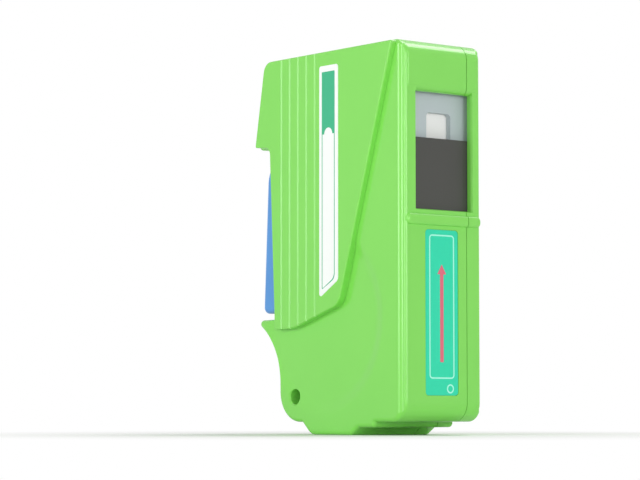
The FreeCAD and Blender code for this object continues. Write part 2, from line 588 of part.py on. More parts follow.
def panel_outline(side):
    """Return a raised grip panel's side view as (y, z, radius) corners; side is -1 or 1."""
    top = CASE_HEIGHT - PANEL_INSET
    front = PANEL_FRONT_TOP + max(side, 0) * PANEL_SET_BACK
    return [
        (front, top, PANEL_TIP_CORNER),
        (PANEL_KNEE[0], LEDGE_HEIGHT + PANEL_KNEE[1], PANEL_KNEE_CORNER),
        (PANEL_FOOT_Y, LEDGE_HEIGHT - PANEL_DROP, PANEL_FOOT_CORNER),
        (THROAT_Y - PANEL_INSET, LEDGE_HEIGHT - PANEL_DROP, PANEL_HEEL_CORNER),
        (THROAT_Y - PANEL_INSET, LEDGE_HEIGHT + PANEL_STEP, 0.0),
        (SHOULDER_Y - PANEL_INSET, SHOULDER_Z + PANEL_INSET, SHOULDER_CORNER),
        (BACK_TIP - PANEL_TIP_BACK, BLOCK_TIP_Z + PANEL_TIP_UNDER, PANEL_TIP_CORNER),
        (CASE_DEPTH - PANEL_INSET, top, PANEL_TOP_CORNER),
    ]


def grip_panel(side):
    """Return one raised grip panel with its vertical grooves; side is -1 or 1."""
    outer = side * (HALF + PANEL_PROUD)
    inner = side * (HALF - DISH_DEPTH - PANEL_ROOT)
    panel = prism(panel_outline(side), min(outer, inner), max(outer, inner))
    panel = panel.makeFillet(PANEL_EDGE, edges_at(panel, "X", outer))
    low = LEDGE_HEIGHT - 2 * PANEL_DROP
    for i in range(RIB_COUNT):
        y = RIB_FIRST_Y + i * RIB_PITCH
        lip = outer + side * RIB_OVER
        corners = [V(lip, y - RIB_WIDTH / 2, low),
                   V(outer - side * RIB_DEPTH, y - RIB_WIDTH * RIB_STEEPNESS, low),
                   V(lip, y + RIB_WIDTH / 2, low)]
        groove = Part.Face(Part.makePolygon(corners + [corners[0]])).extrude(V(0, 0, CASE_HEIGHT))
        panel = panel.cut(groove)
    return panel


def dish(side):
    """Return the shallow round dish that is taken out of a broad side."""
    face = side * HALF
    flat = DISH_RADIUS - DISH_LIP
    rise = DISH_DEPTH / 2
    points = [V(face, 0, 0), V(face - side * DISH_DEPTH, 0, 0), V(face - side * DISH_DEPTH, flat, 0),
              V(face - side * rise, DISH_RADIUS - DISH_LIP / 2, 0), V(face, DISH_RADIUS, 0)]
    curve = Part.BSplineCurve()
    curve.interpolate(points[2:], Tangents=[V(0, 1, 0), V(side, DISH_LIP * DISH_SOFTNESS, 0), V(0, 1, 0)],
                      TangentFlags=[True, False, True])
    edges = [Part.LineSegment(points[0], points[1]).toShape(),
             Part.LineSegment(points[1], points[2]).toShape(), curve.toShape(),
             Part.LineSegment(points[4], points[0]).toShape()]
    solid = Part.Face(Part.Wire(edges)).revolve(V(0, 0, 0), AXIS_X, 360)
    solid.translate(V(0, DISH_Y, DISH_Z))
    return solid


def rounded_front():
    """Return the block that rounds off the two upright front edges of the case."""
    block = box(-HALF, HALF, FRONT_STEP, BACK_TIP + LEDGE_TIP, -CUT_OVER, CASE_HEIGHT + CUT_OVER)
    upright = [e for e in edges_at(block, "Y", FRONT_STEP) if e.BoundBox.ZLength > CASE_HEIGHT]
    return block.makeFillet(FRONT_RIM_RADIUS, upright)


def front_band(left, right, proud, low, top, edge):
    """Return a band with soft side edges that stands out of the front by proud.

    low and top are the (height, radius) of the band's two front corners.
    """
    back = 2 * FRONT_TOP_RADIUS
    band = prism([(-proud, top[0], top[1]), (-proud, low[0], low[1]),
                  (back, low[0], 0.0), (back, top[0], 0.0)], left, right)
    sides = edges_at(band, "X", left) + edges_at(band, "X", right)
    return band.makeFillet(edge, [e for e in sides if e.BoundBox.YMin < back - edge])


def front_face():
    """Return the raised front band with its brow and its bead."""
    top = CASE_HEIGHT - FRONT_SINK
    band = front_band(FRONT_LEFT, FRONT_RIGHT, 0.0, (CHIN_HEIGHT + FRONT_SINK, FRONT_CHIN_RADIUS),
                      (top, FRONT_TOP_RADIUS), FRONT_EDGE)
    brow = front_band(FRONT_LEFT + FRONT_EDGE, FRONT_RIGHT - FRONT_EDGE, BROW_PROUD,
                      (WINDOW_TOP, BROW_LIP), (top - BROW_PROUD, FRONT_TOP_RADIUS),
                      BROW_PROUD * ROUND_SHARE)
    bead = front_pad(FRONT_LEFT + BEAD_INSET, FRONT_RIGHT - BEAD_INSET, -BEAD_PROUD, WALL / 2,
                     BEAD_Z - BEAD_HEIGHT / 2, BEAD_Z + BEAD_HEIGHT / 2, BEAD_END_RADIUS)
    bead = bead.makeFillet(BEAD_PROUD * ROUND_SHARE, edges_at(bead, "Y", -BEAD_PROUD))
    return band.fuse(brow).fuse(bead)


def front_cuts():
    """Return the window and the label's pocket, cut from the front face."""
    window = box(WINDOW_LEFT, WINDOW_RIGHT, -BEAD_PROUD - CUT_OVER, FRONT_STEP + WALL + CUT_OVER,
                 WINDOW_BOTTOM, WINDOW_TOP)
    flare = Part.makeWedge(WINDOW_LEFT - WINDOW_EDGE, -BEAD_PROUD, WINDOW_BOTTOM - WINDOW_EDGE,
                           WINDOW_BOTTOM, WINDOW_LEFT,
                           WINDOW_RIGHT + WINDOW_EDGE, WINDOW_EDGE, WINDOW_TOP, WINDOW_TOP, WINDOW_RIGHT)
    lip_y, lip_z = BROW_LIP - BROW_PROUD, WINDOW_TOP + BROW_LIP
    lip = box(WINDOW_LEFT, WINDOW_RIGHT, -CUT_OVER, lip_y, WINDOW_TOP, lip_z)
    lip = lip.cut(rod(lip_y, lip_z, BROW_LIP, WINDOW_LEFT, WINDOW_RIGHT))
    pocket = front_pad(LABEL_LEFT, LABEL_RIGHT, -CUT_OVER, LABEL_POCKET,
                       LABEL_BOTTOM, LABEL_TOP, LABEL_RADIUS)
    return [window, flare, lip, pocket]


def shutter_channel():
    """Return the recess behind the front wall that the shutter slides in."""
    return box(INNER_LEFT, INNER_RIGHT, SHUTTER_FRONT - SHUTTER_FACE_GAP,
               FRONT_STEP + WALL + CHANNEL_LAP, SHUTTER_BOTTOM - SHUTTER_TRAVEL - CHANNEL_END,
               SHUTTER_TOP + SHUTTER_TRAVEL + CHANNEL_END)


def lever_slot():
    """Return the opening in the back that the lever swings in."""
    half = LEVER_WIDTH / 2 + LEVER_SIDE_GAP
    front = SHOULDER_Y - LEVER_SLOT_DEPTH
    roof = SHOULDER_Z - LEVER_SLOT_ROOF
    below = box(-half, half, front, BACK_TIP, LEDGE_HEIGHT, roof)
    above = box(-half, half, front, LEVER_NECK_Y + LEVER_NECK_ROOM, roof - LEVER_SLOT_LAP,
                PIVOT_Z - LEVER_SLOT_STOP)
    return below.fuse(above)


def case_body():
    """Return the whole hollow case before it is parted at the seam."""
    outline = case_outline()
    body = prism(outline, -HALF, HALF)
    rims = edges_at(body, "X", -HALF) + edges_at(body, "X", HALF)
    body = body.makeFillet(RIM_RADIUS, rims).common(rounded_front())
    for side in (-1, 1):
        body = body.cut(dish(side))
        body = body.fuse(grip_panel(side))
    body = body.fuse(front_face())
    inner_wire = rounded_wire(outline, INNER_LEFT).makeOffset2D(-WALL)
    inner = Part.Face(inner_wire).extrude(V(INNER_RIGHT - INNER_LEFT, 0, 0))
    body = body.cut(inner)
    for tool in front_cuts():
        body = body.cut(tool)
    body = body.cut(lever_slot())
    body = body.cut(shutter_channel())
    hole_land = rod(HOLE_Y, HOLE_Z, HOLE_LAND, INNER_LEFT - ROOT, INNER_RIGHT + ROOT)
    body = body.fuse(hole_land)
    body = body.cut(rod(TAKE_UP_Y, TAKE_UP_Z, REEL_RADIUS + PLAY, REEL_LEFT - PLAY, REEL_RIGHT + PLAY))
    body = body.cut(rod(HOLE_Y, HOLE_Z, HOLE_RADIUS, -HALF - SIDE_OVER, HALF + SIDE_OVER))
    for side in (-1, 1):
        mouth = Part.makeCone(HOLE_RADIUS, HOLE_RADIUS + HOLE_MOUTH, HOLE_MOUTH,
                              V(side * (HALF - HOLE_MOUTH), HOLE_Y, HOLE_Z), V(side, 0, 0))
        body = body.cut(mouth)
    return body


def seam_groove():
    """Return the thin ring that leaves a line where shell and cover meet."""
    outline = rounded_wire(case_outline(), SEAM_X - SEAM_WIDTH / 2)
    wide = Part.Face(outline.makeOffset2D(BEAD_PROUD + FRONT_STEP + CUT_OVER)).extrude(V(SEAM_WIDTH, 0, 0))
    narrow = Part.Face(outline.makeOffset2D(-SEAM_DEPTH)).extrude(V(SEAM_WIDTH, 0, 0))
    return wide.cut(narrow)


def main_shell(body):
    """Return the near part of the case, with its posts and bosses."""
    shell = body.common(box(-FAR, SEAM_X, -FAR, FAR, -FAR, FAR)).cut(seam_groove())
    wall = INNER_LEFT - ROOT
    add = [rod(y, z, CASE_POST_RADIUS, wall, SEAM_X) for y, z in CASE_SCREWS]
    add += [rod(y, z, CHASSIS_POST_RADIUS, wall, CHASSIS_LEFT) for y, z in CHASSIS_SCREWS]
    add.append(rod(TAKE_UP_Y, TAKE_UP_Z, SPINDLE_RADIUS + BOSS_WALL, wall, RATCHET_LEFT - PLAY))
    add.append(rod(PIVOT_Y, PIVOT_Z, PIVOT_RADIUS + PIVOT_BOSS_WALL, wall, -LEVER_WIDTH / 2 - PLAY))
    add.append(rod(CHECK_PIVOT_Y, CHECK_PIVOT_Z, CHECK_PIN_RADIUS + CHECK_BOSS_WALL,
                   wall, RATCHET_LEFT - PLAY))
    add.append(box(wall, CHASSIS_LEFT - PLAY, FRONT_STEP + WALL / 2,
                   SPRING_Y + SPRING_RADIUS + SPRING_SEAT_REACH,
                   SPRING_SEAT_Z - SPRING_SEAT_THICKNESS, SPRING_SEAT_Z))
    add.append(box(wall, RATCHET_RIGHT, CHECK_SPRING_Y - CHECK_RIB_SIZE, CHECK_SPRING_Y + CHECK_RIB_SIZE,
                   CHECK_RIB_Z - CHECK_RIB_SIZE, CHECK_RIB_Z))
    for piece in add:
        shell = shell.fuse(piece)
    holes = [rod(y, z, SCREW_RADIUS + SEATED, SEAM_X - SCREW_GRIP, SEAM_X) for y, z in CASE_SCREWS]
    holes += [rod(y, z, SCREW_RADIUS + SEATED, CHASSIS_LEFT - CHASSIS_SCREW_GRIP, CHASSIS_LEFT)
              for y, z in CHASSIS_SCREWS]
    holes.append(rod(TAKE_UP_Y, TAKE_UP_Z, SPINDLE_RADIUS + RUNNING, INNER_LEFT, 0))
    holes.append(rod(PIVOT_Y, PIVOT_Z, PIVOT_RADIUS + SEATED, INNER_LEFT - PIVOT_SEAT, 0))
    holes.append(rod(CHECK_PIVOT_Y, CHECK_PIVOT_Z, CHECK_PIN_RADIUS + SEATED, INNER_LEFT, 0))
    holes.append(rod(GEAR_Y, GEAR_Z, GEAR_PIN_RADIUS + SEATED, INNER_LEFT - GEAR_PIN_SEAT, 0))
    for piece in holes:
        shell = shell.cut(piece)
    return shell.removeSplitter()


def side_cover(body):
    """Return the far part of the case, with its sunk screw seats and bearing bosses."""
    cover = body.common(box(SEAM_X, FAR, -FAR, FAR, -FAR, FAR)).cut(seam_groove())
    wall = INNER_RIGHT + ROOT
    for y, z in CASE_SCREWS:
        cover = cover.fuse(rod(y, z, CASE_POST_RADIUS + COVER_POST_WALL, SEAM_X, wall))
    cover = cover.fuse(rod(TAKE_UP_Y, TAKE_UP_Z, SPINDLE_RADIUS + BOSS_WALL, REEL_RIGHT + PLAY, wall))
    cover = cover.fuse(rod(SUPPLY_Y, SUPPLY_Z, POST_RADIUS + BOSS_WALL, REEL_RIGHT + PLAY, wall))
    cover = cover.fuse(rod(PIVOT_Y, PIVOT_Z, PIVOT_RADIUS + PIVOT_BOSS_WALL, LEVER_WIDTH / 2 + PLAY, wall))
    holes = [rod(TAKE_UP_Y, TAKE_UP_Z, SPINDLE_RADIUS + RUNNING, 0, INNER_RIGHT),
             rod(SUPPLY_Y, SUPPLY_Z, POST_RADIUS + SEATED, 0, INNER_RIGHT),
             rod(PIVOT_Y, PIVOT_Z, PIVOT_RADIUS + SEATED, 0, INNER_RIGHT + PIVOT_SEAT)]
    for y, z in CASE_SCREWS:
        holes.append(rod(y, z, SCREW_RADIUS + SEATED, SEAM_X, HALF + SIDE_OVER))
        holes.append(rod(y, z, SCREW_HEAD_RADIUS + SCREW_HEAD_GAP, HALF - SCREW_SINK, HALF + SIDE_OVER))
    for piece in holes:
        cover = cover.cut(piece)
    return cover.removeSplitter()


def case_screws():
    """Return the case screws as one group."""
    seat = HALF - SCREW_SINK
    length = seat - SEAM_X + SCREW_GRIP - SCREW_END_GAP
    return Part.makeCompound([screw(y, z, seat, SCREW_HEAD_HEIGHT, length) for y, z in CASE_SCREWS])


# ---- Chassis -------------------------------------------------------------------------
def chassis_plate():
    """Return the plate between the gear side and the tape side of the case."""
    front = PLATE_FRONT + PLATE_THICKNESS
    low_back, high_back = CHASSIS_WAIST
    pawl_low, pawl_high = CHASSIS_WAIST_SPAN
    outline = [
        (front, PLATE_BOTTOM, CHASSIS_TONGUE),
        (CHASSIS_FRONT, PLATE_BOTTOM - CHASSIS_SET_BACK - PLATE_UNDER - CHASSIS_NOTCH, CHASSIS_SOFT_CORNER),
        (CHASSIS_FRONT, CHASSIS_BOTTOM, CHASSIS_CORNER),
        (CHASSIS_LOW_BACK, CHASSIS_BOTTOM, CHASSIS_CORNER),
        (low_back, TAKE_UP_Z - CHASSIS_LOW_STEP, CHASSIS_CORNER),
        (low_back, ROD_PIVOT_Z + pawl_low, CHASSIS_CORNER),
        (high_back, ROD_PIVOT_Z + pawl_high, CHASSIS_CORNER),
        (high_back, SUPPLY_Z - CHASSIS_SUPPLY_STEP, CHASSIS_CORNER),
        (CHASSIS_BACK, CHASSIS_TOP - CHASSIS_TOP_STEP, CHASSIS_CORNER),
        (CHASSIS_BACK, CHASSIS_TOP, CHASSIS_SOFT_CORNER),
        (CHASSIS_FRONT, CHASSIS_TOP, CHASSIS_SOFT_CORNER),
        (CHASSIS_FRONT, PLATE_TOP + PLATE_OVER, CHASSIS_SOFT_CORNER / 2),
        (front, PLATE_TOP, CHASSIS_TONGUE),
    ]
    plate = prism(outline, CHASSIS_LEFT, CHASSIS_RIGHT)
    inside = CHASSIS_RIGHT - ROOT
    add = [box(inside, TAPE_RIGHT, PAD_BACK, PAD_BACK + PAD_SHELF,
               SLOT_BOTTOM - PAD_SHELF_UNDER, SLOT_TOP + PAD_SHELF_OVER)]
    add.append(rod(SUPPLY_Y, SUPPLY_Z, POST_RADIUS, inside, INNER_RIGHT - SHAFT_END_GAP))
    add.append(rod(GEAR_Y, GEAR_Z, GEAR_PIN_RADIUS + GEAR_BOSS_WALL,
                   PINION_RIGHT + PLAY, CHASSIS_LEFT + ROOT))
    for z in (UPPER_ROLLER_Z, LOWER_ROLLER_Z):
        add.append(rod(ROLLER_Y, z, ROLLER_PIN_RADIUS + ROLLER_BOSS_WALL, inside, TAPE_LEFT - PLAY))
    for piece in add:
        plate = plate.fuse(piece)
    blind = CHASSIS_RIGHT - CHASSIS_SEAT_FLOOR
    holes = [rod(y, z, SCREW_RADIUS + SCREW_HOLE_GAP, -HALF, CHASSIS_RIGHT) for y, z in CHASSIS_SCREWS]
    holes.append(rod(TAKE_UP_Y, TAKE_UP_Z, SPINDLE_RADIUS + RUNNING, -HALF, HALF))
    holes.append(rod(GEAR_Y, GEAR_Z, GEAR_PIN_RADIUS + SEATED, -HALF, blind))
    holes.append(rod(CHECK_PIVOT_Y, CHECK_PIVOT_Z, CHECK_PIN_RADIUS + SEATED, -HALF, blind))
    for z in (UPPER_ROLLER_Z, LOWER_ROLLER_Z):
        holes.append(rod(ROLLER_Y, z, ROLLER_PIN_RADIUS + SEATED, CHASSIS_LEFT + CHASSIS_SEAT_FLOOR, HALF))
    for piece in holes:
        plate = plate.cut(piece)
    return plate.removeSplitter()


def chassis_screws():
    """Return the chassis screws as one group."""
    length = CHASSIS_SCREW_GRIP - CHASSIS_SCREW_END_GAP + CHASSIS_THICKNESS
    return Part.makeCompound([screw(y, z, CHASSIS_RIGHT, CHASSIS_HEAD_HEIGHT, length)
                              for y, z in CHASSIS_SCREWS])


def window_plate():
    """Return the grey plate with the cleaning slot."""
    back = PLATE_FRONT + PLATE_THICKNESS
    plate = front_pad(PLATE_LEFT, INNER_RIGHT - SEATED, PLATE_FRONT, back,
                      PLATE_BOTTOM, PLATE_TOP, PLATE_CORNER)
    slot = front_pad(SLOT_LEFT, SLOT_RIGHT, PLATE_FRONT - CUT_OVER, back + CUT_OVER,
                     SLOT_BOTTOM, SLOT_TOP, SLOT_RADIUS)
    return plate.cut(slot)


def backing_pad():
    """Return the elastomer block that presses the tape towards the slot."""
    pad = box(SLOT_LEFT + PAD_SIDE_GAP, SLOT_RIGHT - PAD_SIDE_GAP, PAD_FRONT, PAD_BACK,
              SLOT_BOTTOM - PAD_MARGIN, SLOT_TOP - PAD_MARGIN)
    ends = [e for e in edges_at(pad, "Y", PAD_FRONT)
            if abs(e.Vertexes[0].X - e.Vertexes[-1].X) > 1e-6]
    return pad.makeFillet(PAD_EDGE, ends)


# ---- Tape ----------------------------------------------------------------------------
def tangent(centre_a, radius_a, centre_b, radius_b, side):
    """Return where a belt touches two wheels it passes on the same side, seen along X."""
    dy, dz = centre_b[0] - centre_a[0], centre_b[1] - centre_a[1]
    span = math.hypot(dy, dz)
    turn = math.atan2(dz, dy) + side * math.acos((radius_a - radius_b) / span)
    unit = (math.cos(turn), math.sin(turn))
    touch_a = (centre_a[0] + radius_a * unit[0], centre_a[1] + radius_a * unit[1])
    touch_b = (centre_b[0] + radius_b * unit[0], centre_b[1] + radius_b * unit[1])
    return touch_a, touch_b, turn


def tape_path(offset):
    """Return the wire that the tape's face follows, offset from the roller's surface."""
    wrap = ROLLER_RADIUS + RUNNING + offset
    upper, lower = (ROLLER_Y, UPPER_ROLLER_Z), (ROLLER_Y, LOWER_ROLLER_Z)
    off_roll, on_upper, upper_turn = tangent((SUPPLY_Y, SUPPLY_Z), SUPPLY_ROLL_RADIUS + PLAY + offset,
                                             upper, wrap, -1)
    on_roll, off_lower, lower_turn = tangent((TAKE_UP_Y, TAKE_UP_Z),
                                             TAKE_UP_ROLL_RADIUS + PLAY + offset, lower, wrap, 1)
    upper_mid = (upper_turn + math.pi) / 2
    lower_mid = (lower_turn % (2 * math.pi) + math.pi) / 2

    def at(centre, angle):
        return V(TAPE_LEFT, centre[0] + wrap * math.cos(angle), centre[1] + wrap * math.sin(angle))

    front = ROLLER_Y - wrap
    return [
        Part.LineSegment(V(TAPE_LEFT, *off_roll), V(TAPE_LEFT, *on_upper)).toShape(),
        Part.Arc(V(TAPE_LEFT, *on_upper), at(upper, upper_mid), V(TAPE_LEFT, front, upper[1])).toShape(),
        Part.LineSegment(V(TAPE_LEFT, front, upper[1]), V(TAPE_LEFT, front, lower[1])).toShape(),
        Part.Arc(V(TAPE_LEFT, front, lower[1]), at(lower, lower_mid), V(TAPE_LEFT, *off_lower)).toShape(),
        Part.LineSegment(V(TAPE_LEFT, *off_lower), V(TAPE_LEFT, *on_roll)).toShape(),
    ]


def cleaning_tape():
    """Return the free length of tape from the supply roll to the take-up roll."""
    near, far = tape_path(0.0), tape_path(TAPE_THICKNESS)
    start = Part.LineSegment(far[0].Vertexes[0].Point, near[0].Vertexes[0].Point).toShape()
    end = Part.LineSegment(near[-1].Vertexes[-1].Point, far[-1].Vertexes[-1].Point).toShape()
    loop = Part.Wire(Part.__sortEdges__(near + far + [start, end]))
    return Part.Face(loop).extrude(V(TAPE_WIDTH, 0, 0))


def reel(y, z, bore):
    """Return a reel of two flanges on a hub, with the bore's tool taken out."""
    hub = rod(y, z, REEL_HUB_RADIUS, REEL_LEFT, REEL_RIGHT)
    for left in (REEL_LEFT, REEL_RIGHT - FLANGE_THICKNESS):
        flange = rod(y, z, REEL_RADIUS, left, left + FLANGE_THICKNESS)
        for i in range(FLANGE_HOLES):
            angle = 2 * math.pi * (i + 0.5) / FLANGE_HOLES
            middle = (REEL_RADIUS + REEL_HUB_RADIUS) / 2
            flange = flange.cut(rod(y + middle * math.cos(angle), z + middle * math.sin(angle),
                                    (REEL_RADIUS - REEL_HUB_RADIUS) * FLANGE_HOLE_SHARE,
                                    left, left + FLANGE_THICKNESS))
        hub = hub.fuse(flange)
    return hub.cut(bore).removeSplitter()


def tape_roll(y, z, radius):
    """Return the wound tape on a reel."""
    roll = rod(y, z, radius, TAPE_LEFT, TAPE_RIGHT)
    return roll.cut(rod(y, z, REEL_HUB_RADIUS + SEATED, TAPE_LEFT, TAPE_RIGHT))


def hexagon(y, z, flats, x0, x1):
    """Return a hexagonal bar along X."""
    corner = flats / math.sqrt(3)
    points = [V(x0, y + corner * math.cos(i * math.pi / 3), z + corner * math.sin(i * math.pi / 3))
              for i in range(6)]
    return Part.Face(Part.makePolygon(points + [points[0]])).extrude(V(x1 - x0, 0, 0))


def drive_spindle():
    """Return the take-up spindle with its ratchet wheel."""
    teeth = []
    step = 2 * math.pi / RATCHET_TEETH
    for i in range(RATCHET_TEETH):
        for radius, share in ((RATCHET_RADIUS - RATCHET_DEPTH, -RATCHET_UNDERCUT), (RATCHET_RADIUS, 0.0)):
            angle = math.pi / 2 + (i + share) * step
            teeth.append(V(RATCHET_LEFT, TAKE_UP_Y + radius * math.cos(angle),
                           TAKE_UP_Z + radius * math.sin(angle)))
    wheel = Part.Face(Part.makePolygon(teeth + [teeth[0]])).extrude(V(RATCHET_THICKNESS, 0, 0))
    shaft = rod(TAKE_UP_Y, TAKE_UP_Z, SPINDLE_RADIUS, INNER_LEFT + SHAFT_END_GAP, INNER_RIGHT - SHAFT_END_GAP)
    collar = rod(TAKE_UP_Y, TAKE_UP_Z, SPINDLE_RADIUS + COLLAR_WALL, CHASSIS_RIGHT + COLLAR_GAP, REEL_LEFT)
    drive = hexagon(TAKE_UP_Y, TAKE_UP_Z, HEX_FLATS, REEL_LEFT, REEL_RIGHT)
    blank = rod(TAKE_UP_Y, TAKE_UP_Z, SPINDLE_RADIUS + BLANK_WALL, REEL_LEFT, REEL_RIGHT)
    shaft = shaft.cut(blank.cut(drive))
    return shaft.fuse(wheel).fuse(collar).removeSplitter()


def roller(z):
    """Return one guide roller."""
    body = rod(ROLLER_Y, z, ROLLER_RADIUS, TAPE_LEFT, TAPE_RIGHT)
    return body.cut(rod(ROLLER_Y, z, ROLLER_PIN_RADIUS + RUNNING, TAPE_LEFT, TAPE_RIGHT))


def roller_pins():
    """Return the two steel pins of the guide rollers."""
    seat = CHASSIS_LEFT + CHASSIS_SEAT_FLOOR
    return Part.makeCompound([rod(ROLLER_Y, z, ROLLER_PIN_RADIUS, seat + PIN_END_GAP,
                                  TAPE_RIGHT + ROLLER_PIN_OVER)
                              for z in (UPPER_ROLLER_Z, LOWER_ROLLER_Z)])


def drag_washer():
    """Return the felt washer that keeps the supply reel from running on."""
    washer = rod(SUPPLY_Y, SUPPLY_Z, WASHER_RADIUS, CHASSIS_RIGHT, CHASSIS_RIGHT + WASHER_THICKNESS)
    return washer.cut(rod(SUPPLY_Y, SUPPLY_Z, POST_RADIUS + SEATED, CHASSIS_RIGHT, 0))


# ---- Lever and gears -----------------------------------------------------------------
def lever_outline(inset):
    """Return the lever's side view as (y, z, radius) corners, inset from its back face."""
    return [
        (LEVER_FRONT_LOW, LEVER_BOTTOM + inset, LEVER_TOE_CORNER),
        (LEVER_BACK_LOW - inset, LEVER_BOTTOM + inset, LEVER_HEEL_CORNER),
        (LEVER_BACK_HIGH - inset, LEVER_BEND_Z, LEVER_BEND_CORNER),
        (LEVER_NECK_Y - inset, LEVER_NECK_Z, LEVER_NECK_CORNER),
        (LEVER_NECK_Y - inset, PIVOT_Z, 0.0),
        (PIVOT_Y - LEVER_HUB_RADIUS, PIVOT_Z, 0.0),
        (LEVER_FRONT_HIGH, LEVER_ARM_Z, LEVER_ARM_CORNER),
    ]


def lever():
    """Return the squeeze lever: a channel with a hub, a toothed sector and a rod lug."""
    half = LEVER_WIDTH / 2
    body = prism(lever_outline(0.0), -half, half)
    body = body.makeFillet(LEVER_EDGE, lever_back_edges(body, half))
    hollow = lever_outline(LEVER_WALL)
    open_front = LEVER_FRONT_HIGH - LEVER_BACK_LOW + LEVER_FRONT_LOW
    hollow[0] = (open_front, LEVER_BOTTOM + LEVER_WALL, 0.0)
    hollow[-2] = (open_front, PIVOT_Z, 0.0)
    hollow[-1] = (open_front, LEVER_ARM_Z, 0.0)
    body = body.cut(prism(hollow, -half + LEVER_WALL, half - LEVER_WALL))
    body = body.fuse(rod(PIVOT_Y, PIVOT_Z, LEVER_HUB_RADIUS, -half, half))
    body = body.fuse(rod(ROD_PIVOT_Y, ROD_PIVOT_Z, ROD_PIN_RADIUS + ROD_LUG_WALL,
                         -half, -half + LEVER_WALL))
    body = body.fuse(sector())
    body = body.cut(rod(PIVOT_Y, PIVOT_Z, PIVOT_RADIUS + RUNNING, -half - CUT_OVER, half + CUT_OVER))
    body = body.cut(rod(ROD_PIVOT_Y, ROD_PIVOT_Z, ROD_PIN_RADIUS + SEATED,
                        -half - CUT_OVER, -half + LEVER_WALL))
    return body.removeSplitter()


def lever_back_edges(body, half):
    """Return the long edges of the lever's finger face."""
    behind, below = LEVER_EDGE_RUN_OUT
    found = []
    for side in (-half, half):
        for edge in edges_at(body, "X", side):
            bounds = edge.BoundBox
            if bounds.YMin > LEVER_NECK_Y + behind and bounds.ZMax < LEVER_NECK_Z - below:
                found.append(edge)
    return found


def pivot_pin():
    """Return the steel pin that the lever turns on, seated in both broad walls."""
    reach = PIVOT_SEAT - PIN_END_GAP
    return rod(PIVOT_Y, PIVOT_Z, PIVOT_RADIUS, INNER_LEFT - reach, INNER_RIGHT + reach)


def sector():
    """Return the lever's toothed sector with its arm."""
    step = 2 * math.pi / SECTOR_TEETH_FULL
    fan = toothed_wheel(PIVOT_Y, PIVOT_Z, SECTOR_TEETH_FULL, SECTOR_LEFT, SECTOR_LEFT + SECTOR_THICKNESS,
                        first=SECTOR_HEADING, keep=SECTOR_TEETH)
    spread = step * SECTOR_TEETH / 2
    inner, outer = SECTOR_WINDOW
    slim, broad = SECTOR_WINDOW_TURN
    window = []
    for reach, turn in ((inner, -slim), (outer, -broad), (outer, broad), (inner, slim)):
        radius = SECTOR_PITCH * reach
        angle = SECTOR_HEADING + spread * turn
        window.append((PIVOT_Y + radius * math.cos(angle), PIVOT_Z + radius * math.sin(angle),
                       SECTOR_WINDOW_CORNER))
    return fan.cut(prism(window, SECTOR_LEFT, SECTOR_LEFT + SECTOR_THICKNESS))


def shutter_gear():
    """Return the double gear between the lever's sector and the shutter's rack."""
    wheel = toothed_wheel(GEAR_Y, GEAR_Z, GEAR_TEETH, GEAR_LEFT, GEAR_RIGHT, first=math.pi)
    pinion_first = SECTOR_HEADING + math.pi + math.pi / PINION_TEETH
    pinion = toothed_wheel(GEAR_Y, GEAR_Z, PINION_TEETH, GEAR_RIGHT, PINION_RIGHT, first=pinion_first)
    reach = (GEAR_PITCH + PINION_PITCH) / 2 + GEAR_HOLE_SHIFT
    for i in range(GEAR_HOLES):
        angle = 2 * math.pi * i / GEAR_HOLES
        wheel = wheel.cut(rod(GEAR_Y + reach * math.cos(angle), GEAR_Z + reach * math.sin(angle),
                              GEAR_HOLE_RADIUS, GEAR_LEFT, GEAR_RIGHT))
    both = wheel.fuse(pinion)
    return both.cut(rod(GEAR_Y, GEAR_Z, GEAR_PIN_RADIUS + RUNNING, GEAR_LEFT, PINION_RIGHT)).removeSplitter()


def gear_pin():
    """Return the steel pin of the double gear."""
    return rod(GEAR_Y, GEAR_Z, GEAR_PIN_RADIUS, INNER_LEFT - GEAR_PIN_SEAT + PIN_END_GAP,
               CHASSIS_RIGHT - CHASSIS_SEAT_FLOOR - PIN_END_GAP)


def shutter():
    """Return the sliding shutter with the rack on its near edge and its spring shelf."""
    left, right = INNER_LEFT + SHUTTER_SIDE_GAP, INNER_RIGHT - SHUTTER_SIDE_GAP
    back = SHUTTER_FRONT + SHUTTER_THICKNESS
    plate = box(left, right, SHUTTER_FRONT, back, SHUTTER_BOTTOM, SHUTTER_TOP)
    pitch = math.pi * MODULE
    rack_half = RACK_TEETH * pitch / 2
    rail = box(GEAR_LEFT, GEAR_RIGHT, back - RACK_ROOT, back + RACK_BACKING,
               GEAR_Z - rack_half, GEAR_Z + rack_half)
    plate = plate.fuse(rail)
    root_y, tip_y = RACK_PITCH_Y - DEDENDUM * MODULE, RACK_PITCH_Y + ADDENDUM * MODULE
    root_half, tip_half = pitch * TOOTH_FILL * RACK_ROOT_SHARE, pitch * TOOTH_FILL * RACK_TIP_SHARE
    for i in range(RACK_TEETH):
        middle = GEAR_Z + (i - RACK_TEETH / 2 + 0.5) * pitch
        tooth = [(root_y - RACK_ROOT, middle - root_half, 0), (root_y, middle - root_half, 0),
                 (tip_y, middle - tip_half, 0), (tip_y, middle + tip_half, 0),
                 (root_y, middle + root_half, 0), (root_y - RACK_ROOT, middle + root_half, 0)]
        plate = plate.fuse(prism(tooth, GEAR_LEFT, GEAR_RIGHT))
    reach = SPRING_RADIUS + SPRING_WIRE
    shelf = box(SPRING_X - reach, SPRING_X + reach, back - RACK_ROOT, SPRING_Y + reach,
                SHUTTER_BOTTOM, SHUTTER_BOTTOM + SHELF_THICKNESS)
    return plate.fuse(shelf).removeSplitter()


def shutter_spring():
    """Return the coil spring under the shutter's shelf."""
    return coil(V(SPRING_X, SPRING_Y, 0), SPRING_RADIUS, SPRING_WIRE, SPRING_TURNS,
                SPRING_SEAT_Z + SPRING_END_GAP, SHUTTER_BOTTOM - SPRING_END_GAP)


